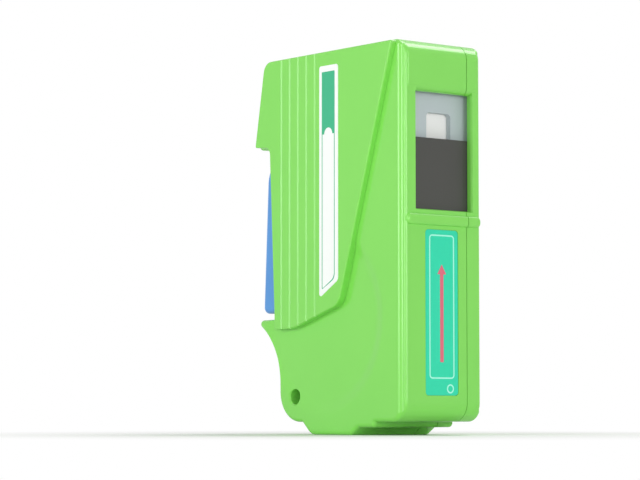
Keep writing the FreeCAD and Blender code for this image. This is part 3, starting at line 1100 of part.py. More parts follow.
# ---- Pawls ---------------------------------------------------------------------------
def drive_pawl():
    """Return the push pawl that runs from the lever to the top of the ratchet wheel."""
    top = ROD_PIVOT_Z + ROD_HEIGHT / 2
    low = ROD_PIVOT_Z - ROD_HEIGHT / 2
    outline = [(ROD_PIVOT_Y, top, 0), (ROD_TIP_Y, top - ROD_TAPER, ROD_NOSE_CORNER),
               (ROD_TIP_Y - ROD_TAPER, low - RATCHET_DEPTH, 0),
               (ROD_TIP_Y + ROD_HOOK, low + ROD_HOOK_CORNER, ROD_HOOK_CORNER), (ROD_PIVOT_Y, low, 0)]
    bar = prism(outline, RATCHET_LEFT, RATCHET_RIGHT)
    bar = bar.fuse(rod(ROD_PIVOT_Y, ROD_PIVOT_Z, ROD_HEIGHT / 2 + ROD_EYE_WALL,
                       RATCHET_LEFT, RATCHET_RIGHT))
    return bar.cut(rod(ROD_PIVOT_Y, ROD_PIVOT_Z, ROD_PIN_RADIUS + RUNNING, -HALF, 0)).removeSplitter()


def drive_pawl_pin():
    """Return the steel pin that joins the drive pawl to the lever."""
    return rod(ROD_PIVOT_Y, ROD_PIVOT_Z, ROD_PIN_RADIUS, ROD_PIN_INSET - LEVER_WIDTH / 2, RATCHET_RIGHT)


def check_pawl():
    """Return the pawl that keeps the take-up reel from turning back."""
    half = CHECK_WIDTH / 2
    out_y, out_z = math.cos(CHECK_ANGLE) * half, math.sin(CHECK_ANGLE) * half
    arm = [(CHECK_PIVOT_Y - out_y, CHECK_PIVOT_Z - out_z, 0), (CHECK_TIP_Y, CHECK_TIP_Z, 0),
           (CHECK_TIP_Y + CHECK_NOSE * out_y, CHECK_TIP_Z + CHECK_NOSE * out_z, 0),
           (CHECK_PIVOT_Y + out_y, CHECK_PIVOT_Z + out_z, 0)]
    pawl = prism(arm, RATCHET_LEFT, RATCHET_RIGHT)
    tail = box(RATCHET_LEFT, RATCHET_RIGHT, CHECK_PIVOT_Y - CHECK_TAIL, CHECK_PIVOT_Y,
               CHECK_TAIL_Z, CHECK_PIVOT_Z + half * CHECK_TAIL_SHARE)
    eye = rod(CHECK_PIVOT_Y, CHECK_PIVOT_Z, half + CHECK_EYE_WALL, RATCHET_LEFT, RATCHET_RIGHT)
    bore = rod(CHECK_PIVOT_Y, CHECK_PIVOT_Z, CHECK_PIN_RADIUS + RUNNING, -HALF, 0)
    return pawl.fuse(tail).fuse(eye).cut(bore).removeSplitter()


def check_pawl_pin():
    """Return the steel pin of the check pawl."""
    return rod(CHECK_PIVOT_Y, CHECK_PIVOT_Z, CHECK_PIN_RADIUS, INNER_LEFT + PIN_END_GAP,
               CHASSIS_RIGHT - CHASSIS_SEAT_FLOOR - PIN_END_GAP)


def check_spring():
    """Return the small coil that pulls the check pawl's tail down."""
    middle = (RATCHET_LEFT + RATCHET_RIGHT) / 2
    return coil(V(middle, CHECK_SPRING_Y, 0), CHECK_SPRING_RADIUS, CHECK_SPRING_WIRE,
                CHECK_SPRING_TURNS, CHECK_RIB_Z + SPRING_END_GAP, CHECK_TAIL_Z - SPRING_END_GAP)


# ---- Labels --------------------------------------------------------------------------
def front_label():
    """Return the printed label in the front pocket."""
    return front_pad(LABEL_LEFT + LABEL_GAP, LABEL_RIGHT - LABEL_GAP,
                     LABEL_POCKET - LABEL_THICKNESS, LABEL_POCKET,
                     LABEL_BOTTOM + LABEL_GAP, LABEL_TOP - LABEL_GAP, LABEL_RADIUS - LABEL_GAP)


def side_label():
    """Return the long label on the near grip panel, cut slantwise at its lower end."""
    outer = -HALF - PANEL_PROUD
    front_top, front_low, back = SIDE_LABEL_CORNERS
    outline = [(SIDE_LABEL_FRONT, SIDE_LABEL_TOP, front_top),
               (SIDE_LABEL_FRONT, SIDE_LABEL_LOW_FRONT, front_low),
               (SIDE_LABEL_BACK, SIDE_LABEL_LOW_BACK, back), (SIDE_LABEL_BACK, SIDE_LABEL_TOP, back)]
    return prism(outline, outer - SIDE_LABEL_THICKNESS, outer)


# ---- Assembly ------------------------------------------------------------------------
def build():
    """Return every node's shape, by name."""
    body = case_body()
    take_up_bore = hexagon(TAKE_UP_Y, TAKE_UP_Z, HEX_FLATS + 2 * SEATED, REEL_LEFT, REEL_RIGHT)
    supply_bore = rod(SUPPLY_Y, SUPPLY_Z, POST_RADIUS + RUNNING, REEL_LEFT, REEL_RIGHT)
    return {
        "main_shell": main_shell(body),
        "side_cover": side_cover(body),
        "case_screws": case_screws(),
        "chassis_plate": chassis_plate(),
        "chassis_screws": chassis_screws(),
        "window_plate": window_plate(),
        "backing_pad": backing_pad(),
        "cleaning_tape": cleaning_tape(),
        "supply_reel": reel(SUPPLY_Y, SUPPLY_Z, supply_bore),
        "supply_tape_roll": tape_roll(SUPPLY_Y, SUPPLY_Z, SUPPLY_ROLL_RADIUS),
        "supply_drag_washer": drag_washer(),
        "take_up_reel": reel(TAKE_UP_Y, TAKE_UP_Z, take_up_bore),
        "take_up_tape_roll": tape_roll(TAKE_UP_Y, TAKE_UP_Z, TAKE_UP_ROLL_RADIUS),
        "drive_spindle": drive_spindle(),
        "upper_guide_roller": roller(UPPER_ROLLER_Z),
        "lower_guide_roller": roller(LOWER_ROLLER_Z),
        "guide_roller_pins": roller_pins(),
        "lever": lever(),
        "lever_pivot_pin": pivot_pin(),
        "shutter_gear": shutter_gear(),
        "shutter_gear_pin": gear_pin(),
        "shutter": shutter(),
        "shutter_spring": shutter_spring(),
        "drive_pawl": drive_pawl(),
        "drive_pawl_pin": drive_pawl_pin(),
        "check_pawl": check_pawl(),
        "check_pawl_pin": check_pawl_pin(),
        "check_pawl_spring": check_spring(),
        "front_label": front_label(),
        "side_label": side_label(),
    }


def main():
    """Centre the assembly on its own box and write one STEP file for each node."""
    nodes = build()
    whole = Part.makeCompound(list(nodes.values())).optimalBoundingBox(False)
    shift = V(-(whole.XMin + whole.XMax) / 2, -(whole.YMin + whole.YMax) / 2, -whole.ZMin)
    os.makedirs("parts", exist_ok=True)
    for name, shape in nodes.items():
        shape.translate(shift)
        shape.exportStep(f"parts/{name}.step")
        print(name, len(shape.Solids), "solids", round(shape.Volume, 2), "mm3", shape.isValid())
    print("shift", shift)


main()
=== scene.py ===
import logging
import math
from dataclasses import dataclass, field
from enum import Enum

import bpy
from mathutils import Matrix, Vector


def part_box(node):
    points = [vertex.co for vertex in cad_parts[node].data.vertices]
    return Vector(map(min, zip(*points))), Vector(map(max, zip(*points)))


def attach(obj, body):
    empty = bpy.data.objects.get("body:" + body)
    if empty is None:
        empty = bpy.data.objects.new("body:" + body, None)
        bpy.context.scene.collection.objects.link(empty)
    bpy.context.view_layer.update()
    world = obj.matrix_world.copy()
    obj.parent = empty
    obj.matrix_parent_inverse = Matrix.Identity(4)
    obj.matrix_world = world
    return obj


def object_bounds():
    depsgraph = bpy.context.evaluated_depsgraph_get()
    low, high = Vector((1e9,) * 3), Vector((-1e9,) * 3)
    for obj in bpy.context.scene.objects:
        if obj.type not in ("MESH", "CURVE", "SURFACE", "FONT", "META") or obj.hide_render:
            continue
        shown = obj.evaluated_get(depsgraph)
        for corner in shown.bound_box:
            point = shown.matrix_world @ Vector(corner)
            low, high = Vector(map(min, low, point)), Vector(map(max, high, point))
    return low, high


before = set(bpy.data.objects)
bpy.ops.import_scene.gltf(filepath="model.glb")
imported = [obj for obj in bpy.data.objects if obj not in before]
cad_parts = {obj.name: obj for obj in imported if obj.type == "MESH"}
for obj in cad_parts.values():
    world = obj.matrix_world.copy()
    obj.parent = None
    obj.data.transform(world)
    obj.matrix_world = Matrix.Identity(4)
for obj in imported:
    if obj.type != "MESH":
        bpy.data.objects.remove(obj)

CAD_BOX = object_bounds()
MM = 0.001  # lengths are in metres, unless their name ends in _mm
TOUCHING = 0.0001 * MM  # points nearer than this are one point
CORNER_STEPS = 8  # edges in a rounded corner
WAVE_LENGTH = math.pi / 10  # one band of a wave texture whose scale is one
MIX_FIRST, MIX_SECOND, MIX_RESULT = 6, 7, 2  # sockets of a mix node that mixes colours
WHITE = (1.0, 1.0, 1.0, 1.0)
LOG = logging.getLogger("cassette_cleaner")


class Face(Enum):
    """A face of the case, and the turn that stands a flat print up against it."""

    FRONT = (math.pi / 2, 0.0, 0.0)
    SIDE = (math.pi / 2, 0.0, -math.pi / 2)


# ---- Colour and node helpers ------------------------------------------------------------
def linear(code: str) -> tuple[float, float, float, float]:
    """Turn an sRGB hex colour into a linear one.

    Args:
        code: Six hex digits with a leading hash sign.

    Returns:
        Linear red, green and blue, and an alpha of one.
    """
    parts = [int(code[i:i + 2], 16) / 255 for i in (1, 3, 5)]
    curve = [p / 12.92 if p <= 0.04045 else ((p + 0.055) / 1.055) ** 2.4 for p in parts]
    return (curve[0], curve[1], curve[2], 1.0)


def add_node(tree: bpy.types.NodeTree, kind: str, settings: dict | None = None,
             links: dict | None = None) -> bpy.types.Node:
    """Add one shader node with its settings and its incoming links.

    Args:
        tree: Node tree that gets the node.
        kind: Blender's name for the type of node.
        settings: Attribute name, or input name or number, to its value.
        links: Input name or number to the output socket that feeds it.

    Returns:
        The new node.
    """
    node = tree.nodes.new(kind)
    for key, value in (settings or {}).items():
        if isinstance(key, str) and hasattr(node, key):
            setattr(node, key, value)
        else:
            node.inputs[key].default_value = value
    for key, source in (links or {}).items():
        tree.links.new(source, node.inputs[key])
    return node


def new_material(name: str) -> tuple[bpy.types.Material, bpy.types.NodeTree, bpy.types.Node]:
    """Make an empty material with a Principled shader joined to its output.

    Args:
        name: Name of the material, after the real one and its process.

    Returns:
        The material, its node tree and the shader.
    """
    material = bpy.data.materials.new(name)
    material.use_nodes = True
    tree = material.node_tree
    tree.nodes.clear()
    shader = add_node(tree, "ShaderNodeBsdfPrincipled")
    add_node(tree, "ShaderNodeOutputMaterial", links={"Surface": shader.outputs["BSDF"]})
    return material, tree, shader


def per_metre(size_mm: float) -> float:
    """Return the texture scale at which one feature has the given size in millimetres."""
    return 1.0 / (size_mm * MM)


# ---- Finishes -------------------------------------------------------------------------
@dataclass(frozen=True)
class MouldedPlastic:
    """Injection-moulded plastic with a spark-eroded mould skin.

    The eye gets a nearly even colour, broad soft highlights and a slight cloudiness
    where the melt has flowed. The real mould grain of about 0.1 mm is too fine to show,
    so it is drawn a few times coarser.
    """

    name: str
    colour: str
    shade: str
    roughness: float
    ior: float = 1.53
    gloss_spread: float = 0.03
    grain_mm: float = 0.45
    grain_height_mm: float = 0.004
    cloud_mm: float = 26.0

    def build(self) -> bpy.types.Material:
        """Build the material.

        Returns:
            The material, its nodes joined up.
        """
        material, tree, shader = new_material(self.name)
        place = add_node(tree, "ShaderNodeTexCoord").outputs["Object"]
        cloud = add_node(tree, "ShaderNodeTexNoise", {"Scale": per_metre(self.cloud_mm), "Detail": 3.0},
                         {"Vector": place})
        colour = add_node(tree, "ShaderNodeMix", {"data_type": "RGBA", MIX_FIRST: linear(self.colour),
                                                  MIX_SECOND: linear(self.shade)},
                          {"Factor": cloud.outputs["Fac"]})
        grain = add_node(tree, "ShaderNodeTexNoise", {"Scale": per_metre(self.grain_mm), "Detail": 2.0},
                         {"Vector": place})
        gloss = add_node(tree, "ShaderNodeMapRange",
                         {"To Min": self.roughness - self.gloss_spread,
                          "To Max": self.roughness + self.gloss_spread},
                         {"Value": grain.outputs["Fac"]})
        skin = add_node(tree, "ShaderNodeBump", {"Strength": 1.0, "Distance": self.grain_height_mm * MM},
                        {"Height": grain.outputs["Fac"]})
        shader.inputs["IOR"].default_value = self.ior
        tree.links.new(colour.outputs[MIX_RESULT], shader.inputs["Base Color"])
        tree.links.new(gloss.outputs["Result"], shader.inputs["Roughness"])
        tree.links.new(skin.outputs["Normal"], shader.inputs["Normal"])
        return material


@dataclass(frozen=True)
class PrintedFilm:
    """Printed polyester film with a clear gloss top.

    The eye gets a clean even ink colour under a smooth, slightly rippled gloss. The
    ink's screen is too fine to show, so it is drawn as a faint mottle.
    """

    name: str
    ink: str
    roughness: float = 0.28
    gloss_spread: float = 0.01
    ior: float = 1.5
    ripple_mm: float = 6.0
    ripple_height_mm: float = 0.002
    mottle_mm: float = 0.8
    mottle: float = 0.06

    def build(self) -> bpy.types.Material:
        """Build the material.

        Returns:
            The material, its nodes joined up.
        """
        material, tree, shader = new_material(self.name)
        place = add_node(tree, "ShaderNodeTexCoord").outputs["Object"]
        screen = add_node(tree, "ShaderNodeTexNoise", {"Scale": per_metre(self.mottle_mm), "Detail": 2.0},
                          {"Vector": place})
        level = add_node(tree, "ShaderNodeMapRange", {"To Min": 1.0 - self.mottle, "To Max": 1.0},
                         {"Value": screen.outputs["Fac"]})
        ink = add_node(tree, "ShaderNodeHueSaturation", {"Color": linear(self.ink)},
                       {"Value": level.outputs["Result"]})
        ripple = add_node(tree, "ShaderNodeTexNoise", {"Scale": per_metre(self.ripple_mm)},
                          {"Vector": place})
        film = add_node(tree, "ShaderNodeBump", {"Strength": 1.0, "Distance": self.ripple_height_mm * MM},
                        {"Height": ripple.outputs["Fac"]})
        gloss = add_node(tree, "ShaderNodeMapRange",
                         {"To Min": self.roughness - self.gloss_spread,
                          "To Max": self.roughness + self.gloss_spread},
                         {"Value": ripple.outputs["Fac"]})
        shader.inputs["IOR"].default_value = self.ior
        tree.links.new(ink.outputs["Color"], shader.inputs["Base Color"])
        tree.links.new(gloss.outputs["Result"], shader.inputs["Roughness"])
        tree.links.new(film.outputs["Normal"], shader.inputs["Normal"])
        return material


@dataclass(frozen=True)
class MicrofibreTape:
    """Densely woven polyester microfibre.

    The eye gets a matt white with a faint square weave and a soft sheen at grazing
    angles. The real thread pitch of 0.1 mm is drawn at 0.3 mm.
    """

    name: str = "woven_polyester_microfibre"
    colour: str = "#FAFAF8"
    gap: str = "#EDEEEC"
    roughness: float = 0.85
    sheen: float = 0.3
    thread_mm: float = 0.314
    thread_height_mm: float = 0.03
    relief: float = 0.6

    def build(self) -> bpy.types.Material:
        """Build the material.

        Returns:
            The material, its nodes joined up.
        """
        material, tree, shader = new_material(self.name)
        place = add_node(tree, "ShaderNodeTexCoord").outputs["Object"]
        warp, weft = [add_node(tree, "ShaderNodeTexWave",
                               {"Scale": WAVE_LENGTH * per_metre(self.thread_mm),
                                "bands_direction": direction}, {"Vector": place})
                      for direction in ("X", "Z")]
        weave = add_node(tree, "ShaderNodeMath", {"operation": "MULTIPLY"},
                         {0: warp.outputs["Fac"], 1: weft.outputs["Fac"]})
        colour = add_node(tree, "ShaderNodeMix", {"data_type": "RGBA", MIX_FIRST: linear(self.gap),
                                                  MIX_SECOND: linear(self.colour)},
                          {"Factor": weave.outputs[0]})
        bump = add_node(tree, "ShaderNodeBump", {"Strength": self.relief,
                                                 "Distance": self.thread_height_mm * MM},
                        {"Height": weave.outputs[0]})
        shader.inputs["Roughness"].default_value = self.roughness
        shader.inputs["Sheen Weight"].default_value = self.sheen
        tree.links.new(colour.outputs[MIX_RESULT], shader.inputs["Base Color"])
        tree.links.new(bump.outputs["Normal"], shader.inputs["Normal"])
        return material


@dataclass(frozen=True)
class TurnedSteel:
    """Zinc-plated steel, cold-headed or drawn.

    The eye gets a grey metal with fine streaks left by the tool and a slightly
    yellowed plating.
    """

    name: str = "zinc_plated_cold_headed_steel"
    colour: str = "#B9BABB"
    streak: str = "#9A9A98"
    streak_mm: float = 0.3
    streak_stretch: tuple[float, float, float] = (0.15, 1.0, 1.0)
    smoothest: float = 0.26
    roughest: float = 0.42

    def build(self) -> bpy.types.Material:
        """Build the material.

        Returns:
            The material, its nodes joined up.
        """
        material, tree, shader = new_material(self.name)
        place = add_node(tree, "ShaderNodeTexCoord").outputs["Object"]
        stretch = add_node(tree, "ShaderNodeMapping", {"Scale": self.streak_stretch}, {"Vector": place})
        streak = add_node(tree, "ShaderNodeTexNoise", {"Scale": per_metre(self.streak_mm), "Detail": 4.0},
                          {"Vector": stretch.outputs["Vector"]})
        colour = add_node(tree, "ShaderNodeMix", {"data_type": "RGBA", MIX_FIRST: linear(self.colour),
                                                  MIX_SECOND: linear(self.streak)},
                          {"Factor": streak.outputs["Fac"]})
        gloss = add_node(tree, "ShaderNodeMapRange", {"To Min": self.smoothest, "To Max": self.roughest},
                         {"Value": streak.outputs["Fac"]})
        shader.inputs["Metallic"].default_value = 1.0
        tree.links.new(colour.outputs[MIX_RESULT], shader.inputs["Base Color"])
        tree.links.new(gloss.outputs["Result"], shader.inputs["Roughness"])
        return material


@dataclass(frozen=True)
class SoftMatt:
    """A soft matt material, such as pressed felt or a cast elastomer.

    The eye gets a dull, finely mottled surface with no highlight.
    """

    name: str
    colour: str
    fleck: str
    fleck_mm: float
    fleck_height_mm: float = 0.05
    relief: float = 0.5
    roughness: float = 0.82
    sheen: float = 0.0

    def build(self) -> bpy.types.Material:
        """Build the material.

        Returns:
            The material, its nodes joined up.
        """
        material, tree, shader = new_material(self.name)
        place = add_node(tree, "ShaderNodeTexCoord").outputs["Object"]
        fleck = add_node(tree, "ShaderNodeTexNoise", {"Scale": per_metre(self.fleck_mm), "Detail": 5.0},
                         {"Vector": place})
        colour = add_node(tree, "ShaderNodeMix", {"data_type": "RGBA", MIX_FIRST: linear(self.colour),
                                                  MIX_SECOND: linear(self.fleck)},
                          {"Factor": fleck.outputs["Fac"]})
        bump = add_node(tree, "ShaderNodeBump", {"Strength": self.relief,
                                                 "Distance": self.fleck_height_mm * MM},
                        {"Height": fleck.outputs["Fac"]})
        shader.inputs["Roughness"].default_value = self.roughness
        shader.inputs["Sheen Weight"].default_value = self.sheen
        tree.links.new(colour.outputs[MIX_RESULT], shader.inputs["Base Color"])
        tree.links.new(bump.outputs["Normal"], shader.inputs["Normal"])
        return material


LIME_ABS = MouldedPlastic("injection_moulded_abs_lime", "#82D859", "#7BD353", 0.2)
BLUE_ABS = MouldedPlastic("injection_moulded_abs_blue", "#5699DE", "#4B8CD2", 0.34)
PLATE_ABS = MouldedPlastic("injection_moulded_abs_light_grey", "#BAC4C8", "#B2BCC1", 0.42)
SHUTTER_ACETAL = MouldedPlastic("injection_moulded_acetal_dark_grey", "#42423E", "#3B3B38", 0.38, ior=1.48)
WHITE_ACETAL = MouldedPlastic("injection_moulded_acetal_natural", "#E7E6DE", "#DEDDD3", 0.4, ior=1.48)
BLACK_ABS = MouldedPlastic("injection_moulded_abs_black", "#232326", "#1C1C1F", 0.45)
FELT = SoftMatt("pressed_wool_felt_grey", "#8D8C87", "#76756F", 0.6, sheen=0.5)
ELASTOMER = SoftMatt("cast_elastomer_dark", "#2B2B2D", "#232324", 1.2)
TEAL_FILM = PrintedFilm("screen_printed_polyester_teal", "#1FD8AC")
WHITE_FILM = PrintedFilm("screen_printed_polyester_white", "#F3F6F4", mottle=0.02)
GREEN_INK = PrintedFilm("screen_printed_ink_green", "#2FB383")
LINE_INK = PrintedFilm("screen_printed_ink_pale_aqua", "#A4F7E0", mottle=0.02)
ARROW_INK = PrintedFilm("screen_printed_ink_coral", "#DB687B", mottle=0.03)


# ---- Modelling helpers -----------------------------------------------------------------
def dress(material: bpy.types.Material, *names: str) -> None:
    """Give CAD nodes a material in place of their plain one.

    Args:
        material: Material for every slot.
        names: Names of the nodes.
    """
    for name in names:
        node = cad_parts[name]
        if not node.material_slots:
            node.data.materials.append(material)
        for slot in node.material_slots:
            slot.material = material
        LOG.info("dressed %s in %s", name, material.name)


def deselect() -> None:
    """Leave nothing selected."""
    if bpy.context.object and bpy.context.object.mode != "OBJECT":
        bpy.ops.object.mode_set(mode="OBJECT")
    bpy.ops.object.select_all(action="DESELECT")


def settle(piece: bpy.types.Object, name: str, material: bpy.types.Material) -> None:
    """Put a print's place into its mesh, name it, dress it and let it ride on the case.

    Args:
        piece: The modelled object, at its place.
        name: Name of the piece.
        material: Material of the whole piece.
    """
    deselect()
    piece.select_set(True)
    bpy.context.view_layer.objects.active = piece
    bpy.ops.object.transform_apply(location=True, rotation=True, scale=True)
    bpy.ops.object.mode_set(mode="EDIT")
    bpy.ops.mesh.select_all(action="SELECT")
    bpy.ops.mesh.remove_doubles(threshold=TOUCHING)
    bpy.ops.mesh.normals_make_consistent(inside=False)
    bpy.ops.object.mode_set(mode="OBJECT")
    piece.name = name
    piece.data.name = name
    piece.data.materials.clear()
    piece.data.materials.append(material)
    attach(piece, "case")
    LOG.info("modelled %s in %s", name, material.name)


def flat_outline(corners: list[tuple[float, float]], radii: list[float]) -> bpy.types.Object:
    """Model a flat face with rounded corners in the XY plane.

    A plane is added, its corners are moved to their places and each is bevelled.

    Args:
        corners: Four corners in metres, anticlockwise.
        radii: Rounding of each corner in metres; zero leaves it sharp.

    Returns:
        The object, still at the origin.
    """
    deselect()
    bpy.ops.mesh.primitive_plane_add(size=1.0)
    face = bpy.context.object
    anticlockwise = (0, 1, 3, 2)
    for number, (x, y) in zip(anticlockwise, corners):
        face.data.vertices[number].co = (x, y, 0.0)
    for (x, y), radius in zip(corners, radii):
        if radius == 0.0:
            continue
        for vertex in face.data.vertices:
            vertex.select = (vertex.co.xy - Vector((x, y))).length < TOUCHING
        for item in (*face.data.edges, *face.data.polygons):
            item.select = False
        bpy.ops.object.mode_set(mode="EDIT")
        bpy.ops.mesh.select_mode(type="VERT")
        bpy.ops.mesh.bevel(offset=radius, segments=CORNER_STEPS, affect="VERTICES", clamp_overlap=False)
        bpy.ops.object.mode_set(mode="OBJECT")
    return face


def raise_print(face: bpy.types.Object, thickness: float, line: float = 0.0) -> None:
    """Turn a flat face into a thin print, solid or as an outline.

    Args:
        face: Flat object in the XY plane.
        thickness: Height of the ink in metres.
        line: Width of the outline in metres; zero keeps the whole field.
    """
    deselect()
    face.select_set(True)
    bpy.context.view_layer.objects.active = face
    bpy.ops.object.mode_set(mode="EDIT")
    bpy.ops.mesh.select_mode(type="FACE")
    bpy.ops.mesh.select_all(action="SELECT")
    if line:
        bpy.ops.mesh.inset(thickness=line)
        bpy.ops.mesh.delete(type="FACE")
        bpy.ops.mesh.select_all(action="SELECT")
    bpy.ops.mesh.extrude_region_move(TRANSFORM_OT_translate={"value": (0.0, 0.0, thickness)})
    bpy.ops.object.mode_set(mode="OBJECT")


def face_towards(piece: bpy.types.Object, face: Face, place: Vector) -> None:
    """Stand a flat print up against a face of the case.

    Args:
        piece: Print in the XY plane, its ink rising along +Z.
        face: Face that it lies on; its X runs to the right as the face is looked at.
        place: Where its own origin goes.
    """
    piece.rotation_euler = face.value
    piece.location = place


# ---- Sub-assemblies --------------------------------------------------------------------
@dataclass
class Housing:
    """The two-part moulded case with its screws."""

    shells: tuple[str, ...] = ("main_shell", "side_cover")
    screws: tuple[str, ...] = ("case_screws", "chassis_screws")

    def build(self, steel: bpy.types.Material) -> None:
        """Dress the shells and the screws.

        Args:
            steel: Material of the screws.
        """
        dress(LIME_ABS.build(), *self.shells)
        dress(steel, *self.screws)


@dataclass
class SqueezeLever:
    """The blue squeeze lever with its drive pawl."""

    pins: tuple[str, ...] = ("drive_pawl_pin", "lever_pivot_pin")

    def build(self, acetal: bpy.types.Material, steel: bpy.types.Material) -> None:
        """Dress the lever, its pawl and their pins.

        Args:
            acetal: Material of the pawl.
            steel: Material of the pins.
        """
        dress(BLUE_ABS.build(), "lever")
        dress(acetal, "drive_pawl")
        dress(steel, *self.pins)


@dataclass
class CleaningWindow:
    """The slotted plate, the tape behind it and the shutter in front of it."""

    tape_nodes: tuple[str, ...] = ("cleaning_tape", "supply_tape_roll", "take_up_tape_roll")

    def build(self) -> None:
        """Dress the plate, the tape, its pad and the shutter."""
        dress(PLATE_ABS.build(), "window_plate")
        dress(ELASTOMER.build(), "backing_pad")
        dress(SHUTTER_ACETAL.build(), "shutter")
        dress(MicrofibreTape().build(), *self.tape_nodes)


@dataclass
class TapeDrive:
    """Reels, rollers, gears and pawls inside the case."""

    acetal_nodes: tuple[str, ...] = ("supply_reel", "take_up_reel", "drive_spindle", "upper_guide_roller",
                                     "lower_guide_roller", "shutter_gear", "check_pawl")
    steel_nodes: tuple[str, ...] = ("guide_roller_pins", "shutter_gear_pin", "shutter_spring",
                                    "check_pawl_pin", "check_pawl_spring")

    def build(self, acetal: bpy.types.Material, steel: bpy.types.Material) -> None:
        """Dress the mechanism.

        Args:
            acetal: Material of the moulded wheels and pawls.
            steel: Material of the pins and springs.
        """
        dress(BLACK_ABS.build(), "chassis_plate")
        dress(FELT.build(), "supply_drag_washer")
        dress(acetal, *self.acetal_nodes)
        dress(steel, *self.steel_nodes)


@dataclass
class FrontLabel:
    """The teal label under the window: a pale border, an arrow and a ring.

    Places run from the label's left edge and up from its foot.
    """

    ink: float = 0.03 * MM
    margin: float = 1.45 * MM
    line: float = 0.45 * MM
    corner: float = 1.2 * MM
    arrow_rise: float = 39.4 * MM
    arrow_tail: float = 10.0 * MM
    shaft_width: float = 1.38 * MM
    head_width: float = 3.5 * MM
    head_length: float = 2.9 * MM
    arrow_corner: float = 0.2 * MM
    tip_width: float = 0.1 * MM
    ring_radius: float = 1.4 * MM
    ring_points: int = 48
    ring_centre: tuple[float, float] = (9.8 * MM, 2.0 * MM)
    border_foot: float = 5.0 * MM
    place: Vector = field(init=False)
    width: float = field(init=False)
    height: float = field(init=False)

    def build(self) -> None:
        """Dress the label and print its border, arrow and ring."""
        dress(TEAL_FILM.build(), "front_label")
        low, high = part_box("front_label")
        self.place = Vector(low)
        self.width, self.height = high.x - low.x, high.z - low.z
        pale = LINE_INK.build()
        self.border(pale)
        self.ring(pale)
        self.arrow(ARROW_INK.build())

    def border(self, ink: bpy.types.Material) -> None:
        """Print the rounded border line.

        Args:
            ink: Material of the print.
        """
        left, right = self.margin, self.width - self.margin
        low, high = self.border_foot, self.height - self.margin
        corners = [(left, low), (right, low), (right, high), (left, high)]
        piece = flat_outline(corners, [self.corner] * 4)
        raise_print(piece, self.ink, self.line)
        face_towards(piece, Face.FRONT, self.place)
        settle(piece, "front_label_border", ink)

    def ring(self, ink: bpy.types.Material) -> None:
        """Print the small ring at the label's lower end.

        Args:
            ink: Material of the print.
        """
        deselect()
        bpy.ops.mesh.primitive_circle_add(vertices=self.ring_points, radius=self.ring_radius,
                                          fill_type="NGON")
        piece = bpy.context.object
        raise_print(piece, self.ink, self.line)
        x, z = self.ring_centre
        face_towards(piece, Face.FRONT, self.place + Vector((x, 0.0, z)))
        settle(piece, "front_label_ring", ink)

    def arrow(self, ink: bpy.types.Material) -> None:
        """Print the arrow that points up to the window.

        Args:
            ink: Material of the print.
        """
        half, wide, tip = self.shaft_width / 2, self.head_width / 2, self.tip_width / 2
        neck = self.arrow_rise - self.head_length
        corners = [self.arrow_corner, self.arrow_corner, 0.0, 0.0]
        shaft = flat_outline([(-half, self.arrow_tail), (half, self.arrow_tail), (half, neck), (-half, neck)],
                             corners)
        head = flat_outline([(-wide, neck), (wide, neck), (tip, self.arrow_rise), (-tip, self.arrow_rise)],
                            corners)
        deselect()
        for piece in (head, shaft):
            piece.select_set(True)
        bpy.context.view_layer.objects.active = shaft
        bpy.ops.object.join()
        raise_print(shaft, self.ink)
        face_towards(shaft, Face.FRONT, self.place + Vector((self.width / 2, 0.0, 0.0)))
        settle(shaft, "front_label_arrow", ink)


@dataclass
class SideLabel:
    """The long white label on the ribbed side.

    Its print is a green field that runs down into a thin outline. An arch is left bare
    at the foot of the field, and the outline ends on a slant. Places run from the
    label's back edge and down from its top.
    """

    ink: float = 0.03 * MM
    left: float = 1.3 * MM
    right: float = 7.65 * MM
    top: float = 1.9 * MM
    field_foot: float = 21.4 * MM
    foot_left: float = 69.5 * MM
    foot_right: float = 66.3 * MM
    corner_left: float = 0.5 * MM
    corner_right: float = 1.6 * MM
    corner_top: float = 0.3 * MM
    line: float = 0.32 * MM
    arch_radius: float = 2.0 * MM
    arch_points: int = 64

    def build(self) -> None:
        """Dress the label and print its field with the outline."""
        dress(WHITE_FILM.build(), "side_label")
        low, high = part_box("side_label")
        place = Vector((low.x, high.y, high.z))
        piece = flat_outline([(self.left, -self.foot_left), (self.right, -self.foot_right),
                              (self.right, -self.top), (self.left, -self.top)],
                             [self.corner_left, self.corner_right, self.corner_top, self.corner_top])
        raise_print(piece, self.ink)
        window = flat_outline([(self.left + self.line, self.line - self.foot_left),
                               (self.right - self.line, self.line - self.foot_right),
                               (self.right - self.line, -self.field_foot),
                               (self.left + self.line, -self.field_foot)],
                              [self.corner_left, self.corner_right, 0.0, 0.0])
        self.cut(piece, window)
        bpy.ops.mesh.primitive_circle_add(vertices=self.arch_points, radius=self.arch_radius,
                                          fill_type="NGON")
        arch = bpy.context.object
        arch.location = ((self.left + self.right) / 2, -self.field_foot, 0.0)
        self.cut(piece, arch)
        face_towards(piece, Face.SIDE, place)
        settle(piece, "side_label_print", GREEN_INK.build())

    def cut(self, piece: bpy.types.Object, window: bpy.types.Object) -> None:
        """Leave a bare place in a print, with a cutter that stands out below and above it.

        Args:
            piece: Print that is cut.
            window: Flat object in the XY plane with the shape of the bare place.
        """
        window.location.z = -self.ink
        raise_print(window, 3 * self.ink)
        deselect()
        bpy.context.view_layer.objects.active = piece
        modifier = piece.modifiers.new("bare_place", "BOOLEAN")
        modifier.operation = "DIFFERENCE"
        modifier.solver = "EXACT"
        modifier.object = window
        bpy.ops.object.modifier_apply(modifier=modifier.name)
        bpy.data.objects.remove(window)


